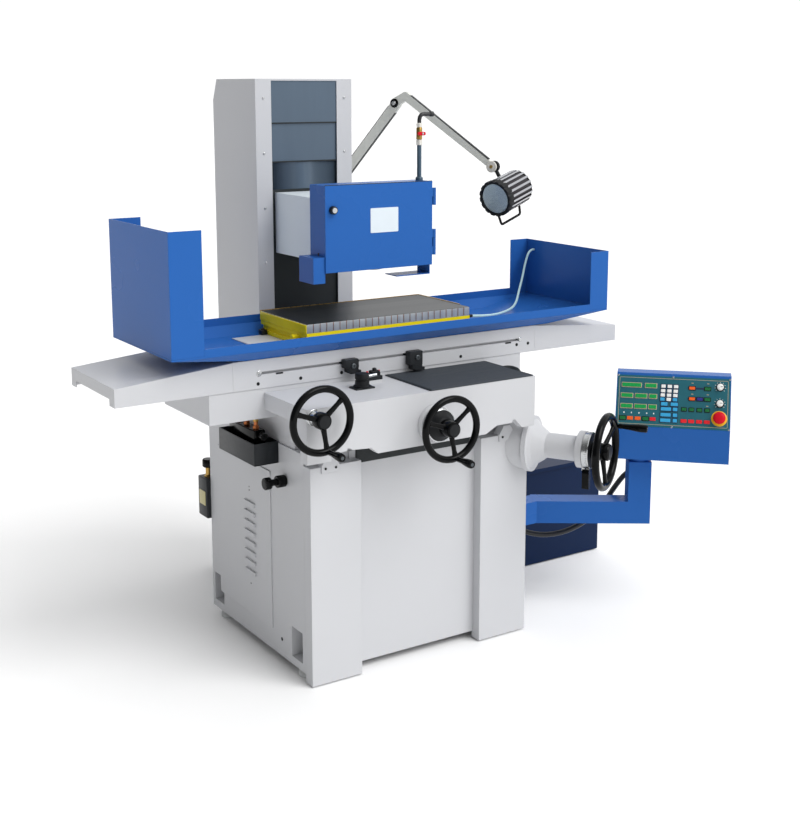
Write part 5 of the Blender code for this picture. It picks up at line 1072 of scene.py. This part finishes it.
class GRINDER_OT_wheelhead(bpy.types.Operator):
    """Builds the fittings of the wheelhead, guard, door and coolant pipe"""

    bl_idname = "grinder.wheelhead"
    bl_label = "Wheelhead Fittings"

    def execute(self, context):
        self.build_coolant_pipe()
        self.build_door_fittings()
        self.build_trim()
        return {"FINISHED"}

    @staticmethod
    def build_coolant_pipe():
        """The riser with its nuts, tap and bend, and the tap's lever."""
        pipe = Shape()
        seat = stand(PIPE, UP)
        pipe.turned(seat, [(0.0120, 1.4453), (0.0120, 1.4530), (0.0100, 1.4560), (0.0076, 1.4570)],
                    "pipe_blue_grey", 24)
        pipe.turned(seat, [(0.0076, 1.4570), (0.0072, 1.4580), (0.0072, 1.5580)], "pipe_blue_grey", 24)
        pipe.turned(seat, [(0.0105, 1.5560), (0.0112, 1.5580), (0.0112, 1.5700), (0.0100, 1.5730)], "nylon_white", 6)
        pipe.turned(seat, [(0.0080, 1.5730), (0.0095, 1.5750), (0.0095, 1.6080), (0.0075, 1.6110)], "brass", 24)
        pipe.turned(seat, [(0.0075, 1.6110), (0.0100, 1.6125), (0.0100, 1.6230), (0.0070, 1.6250)], "nylon_white", 6)
        bend = ((0, 1.624), (0, 1.634), (0.002, 1.643), (0.007, 1.6495), (0.014, 1.652), (0.030, 1.652),
                (0.052, 1.652))
        pipe.tube([PIPE + Vector((x, 0, z)) for x, z in bend], 0.0066, "pvc_grey", 16)
        pipe.turned(stand(PIPE + Vector((0.040, 0, 1.652)), RIGHT),
                    [(0.0085, 0.0), (0.0085, 0.011), (0.0066, 0.0125)], "pvc_grey", 20)
        pipe.rod(PIPE + Vector((0, 0, TAP_Z)), PIPE + Vector((0, -0.014, TAP_Z)), 0.0060, "brass", 16)
        pipe.make("coolant_riser", "head", "steel", ["coolant_pipe"])

        lever = Shape()
        face = stand(PIPE + Vector((-0.0025, -0.0143, TAP_Z)), FRONT, RIGHT)
        lever.slab(face, 0.029, 0.0112, 0.0062, "enamel_red", 0.0050, 0.0014)
        lever.screw(stand(PIPE + Vector((0.0, -0.0205, TAP_Z)), FRONT), 0.0032)
        lever.make("tap_lever_red", "tap_lever", "red_plastic", ["tap_lever"])

    @staticmethod
    def build_door_fittings():
        """The door's latch and its plain plate."""
        latch = Shape()
        spot = stand(at(-0.170, 0.2567, 1.372), FRONT)
        latch.turned(spot, [(0.0125, GAP), (0.0125, 0.0110), (0.0110, 0.0140), (0.0085, 0.0150)],
                     "steel_blackened", 32)
        latch.turned(spot, [(0.0085, 0.0150), (0.0080, 0.0160), (0.0, 0.0160)], "steel_turned", 32)
        latch.turned(spot, [(0.005, GAP), (0.005, -0.010)], "steel_turned", 16)
        latch.make("door_latch_turning", "door_latch", "steel", ["door_latch"])

        plate = Shape()
        plate.slab(stand(at(0.0145, 0.2567, 1.333), FRONT, RIGHT), 0.101, 0.076, 0.0012, "plate_plain",
                   0.003, 0.0003)
        plate.make("guard_plain_plate", "guard_door", "white_paint")

    @staticmethod
    def build_trim():
        """The guard's seal and plug, the head's recess as a black half-ellipse of painted shade, and the plate over
        the curtain.
        """
        trim = Shape()
        trim.block((-0.194, 0.258, 1.4450), (0.194, 0.262, 1.4468), "rubber_curtain", 0.0004)
        trim.turned(stand(at(-0.1950, 0.300, 1.236), LEFT), [(0.0045, 0.0), (0.0045, 0.0006), (0.0, 0.0006)],
                    "phenolic_matt", 20)
        trim.make("guard_seal", "head", "rubber")

        head = Shape()
        # A thin black half-ellipse on the head's left side paints the shade in its recess.
        arc = [(0.030 * math.sin(math.pi * k / 12), 0.55 * (0.030 * math.cos(math.pi * k / 12))) for k in range(13)]
        head.prism(stand(at(-0.1100, 0.462, 1.3560), LEFT, BACK), arc, 0.0008, "phenolic_matt")
        head.block((-0.1495, 0.74005, 1.4000), (0.1495, 0.74029, 1.5565), "steel_slate", 0.0001)
        head.make("wheelhead_recess", "head", "grey_paint")


class GRINDER_OT_table(bpy.types.Operator):
    """Builds the table's trip dogs, plug, stop and screws"""

    bl_idname = "grinder.table"
    bl_label = "Table Fittings"

    def execute(self, context):
        front = 0.150
        for name, x in (("trip_dog_left", -0.166), ("trip_dog_right", 0.065)):
            low, top = (corner.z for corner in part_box(name))
            dog = Shape()
            dog.block((x - 0.026, front, low + 0.018), (x + 0.022, 0.1757, top), "steel_blackened", 0.0020)
            dog.block((x - 0.016, front + 0.0002, low + 0.004), (x + 0.021, 0.1755, low + 0.024), "steel_blackened",
                      0.0016)
            dog.block((x - 0.006, front + 0.0004, low), (x + 0.030, 0.1753, low + 0.010), "steel_blackened", 0.0010)
            dog.block((x - 0.027, 0.1740, 0.9175), (x + 0.027, 0.1885, 0.9245), "steel_blackened", 0.0006)
            dog.screw(stand(at(x + 0.002, front, top - 0.020), FRONT), 0.0080, "iron_machined")
            dog.make(name + "_block", name, "black_plastic", [name])

        table = Shape()
        front = 0.1760
        table.turned(stand(at(-0.466, front, 0.921), FRONT),
                     [(0.0085, -0.0005), (0.0085, 0.0012), (0.0070, 0.0022), (0.0, 0.0024)], "steel_turned", 28)
        table.turned(stand(at(0.489, front, 0.921), FRONT),
                     [(0.0070, -0.0005), (0.0070, 0.0010), (0.0058, 0.0020), (0.0, 0.0022)], "steel_turned", 28)
        for x in (-0.400, 0.440):
            table.block((x - 0.012, front - 0.0002, 0.9120), (x + 0.012, front + 0.001, 0.9170), "phenolic_matt",
                        0.0001)
        for x, z in ((-0.470, 0.891), (-0.330, 0.891), (-0.190, 0.891), (0.250, 0.891), (0.475, 0.905),
                     (0.522, 0.905)):
            table.turned(stand(at(x, front - 0.0002, z), FRONT),
                         [(0.0052, -0.0004), (0.0052, 0.0004), (0.0, 0.0002)], "phenolic_matt", 20)
        table.make("table_front_fittings", "table", "black_plastic")
        return {"FINISHED"}


class GRINDER_OT_saddle(bpy.types.Operator):
    """Builds the reversing knob, its switch and the apron's fittings"""

    bl_idname = "grinder.saddle"
    bl_label = "Saddle Fittings"

    def execute(self, context):
        self.build_reversing_gear()
        self.build_flanges()
        self.build_oil_pipe()
        self.build_mat()
        return {"FINISHED"}

    @staticmethod
    def build_reversing_gear():
        """The reversing knob with its pin, the switch beside it and their base plate."""
        knob = Shape()
        seat = stand(SADDLE_LEVER, UP)
        knob.turned(seat, [(0.008, -0.024), (0.008, 0.0044), (0.0255, 0.0044), (0.0255, 0.0085), (0.0215, 0.0105),
                           (0.0205, 0.0225), (0.0185, 0.0240), (0.0185, 0.0265), (0.0212, 0.0285), (0.0212, 0.0415),
                           (0.0195, 0.0445), (0.0080, 0.0460), (0.0, 0.0460)], "phenolic_matt", 40)
        knob.rod(SADDLE_LEVER + Vector((0, 0, 0.032)), SADDLE_LEVER + Vector((0.048, -0.004, 0.036)), 0.0050,
                 "steel_turned", 16, 0.0042)
        knob.make("reversing_lever_turning", "reversing_lever", "black_plastic", ["reversing_lever"])

        switch = Shape()
        foot = stand(SWITCH + Vector((0, 0, 0.008)), UP, RIGHT)
        switch.slab(foot, 0.052, 0.026, 0.012, "steel_blackened", 0.002, 0.0010)
        switch.slab(foot @ Matrix.Translation((0.004, 0, 0.0115)), 0.030, 0.022, 0.016, "phenolic_matt",
                    0.004, 0.0020)
        switch.slab(foot @ Matrix.Translation((0, 0.002, 0.0115)), 0.048, 0.012, 0.009, "steel_blackened", 0.002,
                    0.0010)
        switch.turned(foot @ Matrix.Translation((0.004, 0, 0.0274)),
                      [(0.0065, 0), (0.0065, 0.006), (0.0050, 0.0075), (0.0, 0.0075)], "steel_blackened", 24)
        for x in (-0.020, 0.021):
            switch.turned(foot @ Matrix.Translation((x, 0.002, 0.0204)),
                          [(0.0036, 0.0), (0.0036, 0.006), (0.0, 0.0068)], "enamel_red", 16)
        switch.make("reversing_switch", "saddle", "black_plastic")

        base = Shape()
        base.slab(stand(SADDLE_LEVER, UP, RIGHT), 0.066, 0.046, 0.0040, "steel_blackened", 0.004, 0.0010)
        base.make("reversing_base_plate", "saddle", "black_plastic")

    @staticmethod
    def build_flanges():
        """The flanges on the apron behind the table and cross-feed handwheels."""
        apron_front = -0.0752
        collar = Shape()
        collar.turned(stand(at(-0.428, apron_front, 0.839), FRONT),
                      [(0.0105, 0.0), (0.0240, 0.0), (0.0240, 0.0030), (0.0225, 0.0040), (0.0105, 0.0040)],
                      "steel_turned", 36)
        collar.make("table_wheel_flange", "saddle", "steel")
        ring = Shape()
        ring.turned(stand(at(-0.026, apron_front, 0.767), FRONT),
                    [(0.0105, 0.0), (0.0560, 0.0), (0.0560, 0.0120), (0.0545, 0.0145), (0.0105, 0.0145)],
                    "enamel_white", 56)
        ring.make("cross_wheel_flange", "saddle", "white_paint")

    @staticmethod
    def build_oil_pipe():
        """The bent pipe at the saddle's right, with a nut at each end."""
        pipe = Shape()
        bend = smooth_line([at(0.345, 0.130, 0.836), at(0.365, 0.130, 0.839), at(0.395, 0.128, 0.843),
                            at(0.412, 0.115, 0.842), at(0.414, 0.092, 0.838), at(0.398, 0.070, 0.831),
                            at(0.372, 0.048, 0.820), at(0.350, 0.030, 0.811)], 40)
        pipe.tube(bend, 0.0100, "rubber_curtain", 20)
        for k, way in ((2, 1), (-3, -1)):
            seat = stand(bend[k], way * (bend[k + 1] - bend[k]))
            pipe.turned(seat, [(0.0118, 0.0), (0.0118, 0.010), (0.0100, 0.0115)], "steel_blackened", 6)
        pipe.make("saddle_oil_pipe", "saddle", "rubber")

    @staticmethod
    def build_mat():
        """The ribs and the borders of the rubber mat on the apron."""
        mat, mat_top, rib_pitch = Shape(), 0.8657, 0.0092
        for k in range(26):
            y = 0.0517 - 0.115 + rib_pitch * k
            mat.block((-0.028, y, mat_top), (0.339, y + 0.0040, 0.8665), "rubber_mat", 0.0003)
        for x in (-0.033, 0.341):
            mat.block((x, -0.070, mat_top), (x + 0.003, 0.172, 0.8666), "rubber_curtain", 0.0003)
        mat.make("apron_mat_ribs", "saddle", "rubber")


class GRINDER_OT_base(bpy.types.Operator):
    """Builds the base's dark strips of painted shade, bracket screws, screws, oil box and knobs"""

    bl_idname = "grinder.base"
    bl_label = "Base Fittings"

    def execute(self, context):
        self.build_shade_strips_and_wipers()
        self.build_side_knob()
        self.build_oil_box()
        self.build_rear_valve()
        self.build_side_holes()
        return {"FINISHED"}

    @staticmethod
    def build_shade_strips_and_wipers():
        """The front panel's seam lines and the gap under the apron as dark strips of painted shade, the wipers and
        the screws.
        """
        seam_shade = Shape()
        # Dark strips along the posts' inner edges paint the shade in the gaps beside the set-back panel.
        for x in (-0.2300, 0.2045):
            seam_shade.block((x - 0.0004, 0.0320, 0.028), (x + 0.0026, 0.0400, 0.650), "phenolic_matt", 0.0003)
        seam_shade.make("front_panel_seam_shade", "base", "black_plastic")

        brackets = Shape()
        for x in (-0.335, 0.300):
            for dx in (-0.017, 0.017):
                brackets.screw(stand(at(x + dx, -0.0052, 0.662), FRONT), 0.0036, "phenolic_matt")
        brackets.make("wiper_screws", "base", "steel")

        for name, body, y, z in (("way_plate_wiper_top", "base", 0.7315, 1.6160),
                                 ("way_plate_wiper_middle", "way_plate", 0.7350, 1.4890)):
            wiper = Shape()
            wiper.block((-0.1495, y, z), (0.1495, y + 0.0017, z + 0.0045), "rubber_curtain", 0.0003)
            wiper.make(name, body, "rubber")
        # A dark rubber strip in front of the set-back panel paints the shade in the gap under the apron.
        seal = Shape()
        seal.block((-0.2285, 0.0300, 0.6500), (0.2025, 0.0349, 0.6985), "rubber_curtain", 0.0006)
        seal.make("apron_gap_shade_strip", "base", "rubber")

        column = Shape()
        for x in (-0.153, 0.153):
            for z in (0.800, 0.980, 1.160, 1.340, 1.520, 1.700):
                column.screw(stand(at(x, 0.7300, z), FRONT), 0.0040)
        column.make("column_strip_screws", "base", "steel")

    @staticmethod
    def build_side_knob():
        """The flow knob: two knurled rings on a waisted stem."""
        knob = Shape()
        seat = stand(at(-0.4003, 0.150, 0.596), LEFT)
        radius = 0.018
        for low, high in ((0.002, 0.030), (0.050, 0.070)):
            profile = ((radius * 0.94, low), (radius, low + 0.002), (radius, high - 0.002), (radius * 0.94, high))
            knob.loft(seat, knurled(profile, 48, 0.05), "phenolic_gloss")
        knob.turned(seat, [(0.0140, 0.0), (0.0140, 0.003)], "phenolic_gloss", 32)
        knob.turned(seat, [(0.0105, 0.028), (0.0100, 0.034), (0.0100, 0.046), (0.0115, 0.052)], "phenolic_gloss", 32)
        knob.turned(seat, [(0.0140, 0.0695), (0.0125, 0.0712), (0.0, 0.0720)], "phenolic_matt", 32)
        knob.make("side_knob_turning", "side_knob", "black_plastic", ["side_knob"])

    @staticmethod
    def build_oil_box():
        """The open box with the lubrication unit, its three outlets and its filler."""
        oil = Shape()
        low, high = 0.640, 0.707
        x0, x1, y0, y1, wall = -0.480, -0.4003, 0.190, 0.430, 0.003
        oil.block((x0, y0, low), (x1, y1, low + wall), "steel_blackened", 0.0006)
        lap = 0.0005
        for left, near, right, far in ((x0, y0, x0 + wall, y1), (x1 - wall, y0, x1, y1),
                                       (x0 + lap, y0, x1 - lap, y0 + wall), (x0 + lap, y1 - wall, x1 - lap, y1)):
            oil.block((left, near, low + lap), (right, far, high), "steel_blackened", 0.0008)
        oil.block((-0.462, 0.225, low + 0.003), (-0.425, 0.395, 0.738), "phenolic_gloss", 0.003)
        for k in range(3):
            spot = stand(at(-0.443, 0.250 + 0.060 * k, 0.738), UP)
            oil.turned(spot, [(0.0100, -0.002), (0.0100, 0.008), (0.0080, 0.010)], "copper", 6)
            oil.turned(spot, [(0.0062, 0.009), (0.0062, 0.022), (0.0045, 0.024)], "copper", 20)
            oil.turned(spot, [(0.0085, 0.022), (0.0085, 0.029), (0.0, 0.030)], "brass", 6)
        spot = stand(at(-0.443, 0.225, 0.722), FRONT)
        oil.turned(spot, [(0.0110, -0.002), (0.0110, 0.010), (0.0070, 0.014), (0.0070, 0.018), (0.0120, 0.020),
                          (0.0120, 0.030), (0.0095, 0.032), (0.0, 0.032)], "phenolic_gloss", 28)
        oil.make("oil_box", "base", "black_plastic", ["lube_unit"])

    @staticmethod
    def build_rear_valve():
        """The valve block at the rear, with its plain plate and knurled knob."""
        rear = Shape()
        y = 0.6773
        rear.block((-0.415, y, 0.330), (-0.335, y + 0.066, 0.465), "steel_blackened", 0.003)
        rear.block((-0.4162, y + 0.010, 0.372), (-0.4145, y + 0.056, 0.420), "plate_tan", 0.0004)
        spot = stand(at(-0.392, y + 0.033, 0.465), UP)
        rear.turned(spot, [(0.0140, -0.002), (0.0140, 0.003), (0.0090, 0.006), (0.0090, 0.032)], "brass", 28)
        radius = 0.019
        cap = ((radius * 0.80, 0.032), (radius, 0.036), (radius, 0.056), (radius * 0.88, 0.060))
        rear.loft(spot, knurled(cap, 40, 0.06), "phenolic_gloss")
        rear.make("rear_valve_fittings", "base", "black_plastic", ["rear_valve_block"])

    @staticmethod
    def build_side_holes():
        """The small holes in the left wall and its door, as black discs of painted shade."""
        small = Shape()
        # Flat black discs paint the dark inside of each hole as shade.
        for x, y, z, reach in ((-0.4034, 0.385, 0.505, 0.0024), (-0.4034, 0.385, 0.516, 0.0024),
                               (-0.4034, 0.385, 0.200, 0.0028), (-0.4001, 0.188, 0.085, 0.0060)):
            small.turned(stand(at(x, y, z), LEFT), [(reach, 0.0), (reach, 0.0004), (0.0, 0.0004)],
                         "phenolic_matt", 16)
        small.make("side_wall_holes", "base", "black_plastic")


class GRINDER_PT_dressing(bpy.types.Panel):
    """Lists the grinder's colours, sizes and building steps"""

    bl_idname = "GRINDER_PT_dressing"
    bl_label = "Surface Grinder"
    bl_space_type = "VIEW_3D"
    bl_region_type = "UI"
    bl_category = "Grinder"

    def draw(self, context):
        scene = context.scene
        for group in (scene.grinder_colours, scene.grinder_sizes, scene.grinder_stage):
            for name in group.__annotations__:
                self.layout.prop(group, name)
        for step in STEPS:
            self.layout.operator(step.bl_idname)


GROUPS = {"grinder_colours": GrinderColours, "grinder_sizes": GrinderSizes, "grinder_stage": GrinderStage}
STEPS = (GRINDER_OT_camera_and_stage, GRINDER_OT_cords, GRINDER_OT_frame_finishes, GRINDER_OT_handwheels,
         GRINDER_OT_chuck, GRINDER_OT_console, GRINDER_OT_lamp, GRINDER_OT_wheelhead, GRINDER_OT_table,
         GRINDER_OT_saddle, GRINDER_OT_base)


def register():
    """Registers the classes and hangs the property groups on the scene."""
    for made in (*GROUPS.values(), *STEPS, GRINDER_PT_dressing):
        bpy.utils.register_class(made)
    for name, group in GROUPS.items():
        setattr(bpy.types.Scene, name, bpy.props.PointerProperty(type=group))


def unregister():
    """Takes the property groups and the classes away again."""
    for name in GROUPS:
        delattr(bpy.types.Scene, name)
    for made in reversed((*GROUPS.values(), *STEPS, GRINDER_PT_dressing)):
        bpy.utils.unregister_class(made)


def main():
    """Builds every piece in order."""
    register()
    for step in STEPS:
        family, name = step.bl_idname.split(".")
        getattr(getattr(bpy.ops, family), name)()


if __name__ == "__main__":
    main()
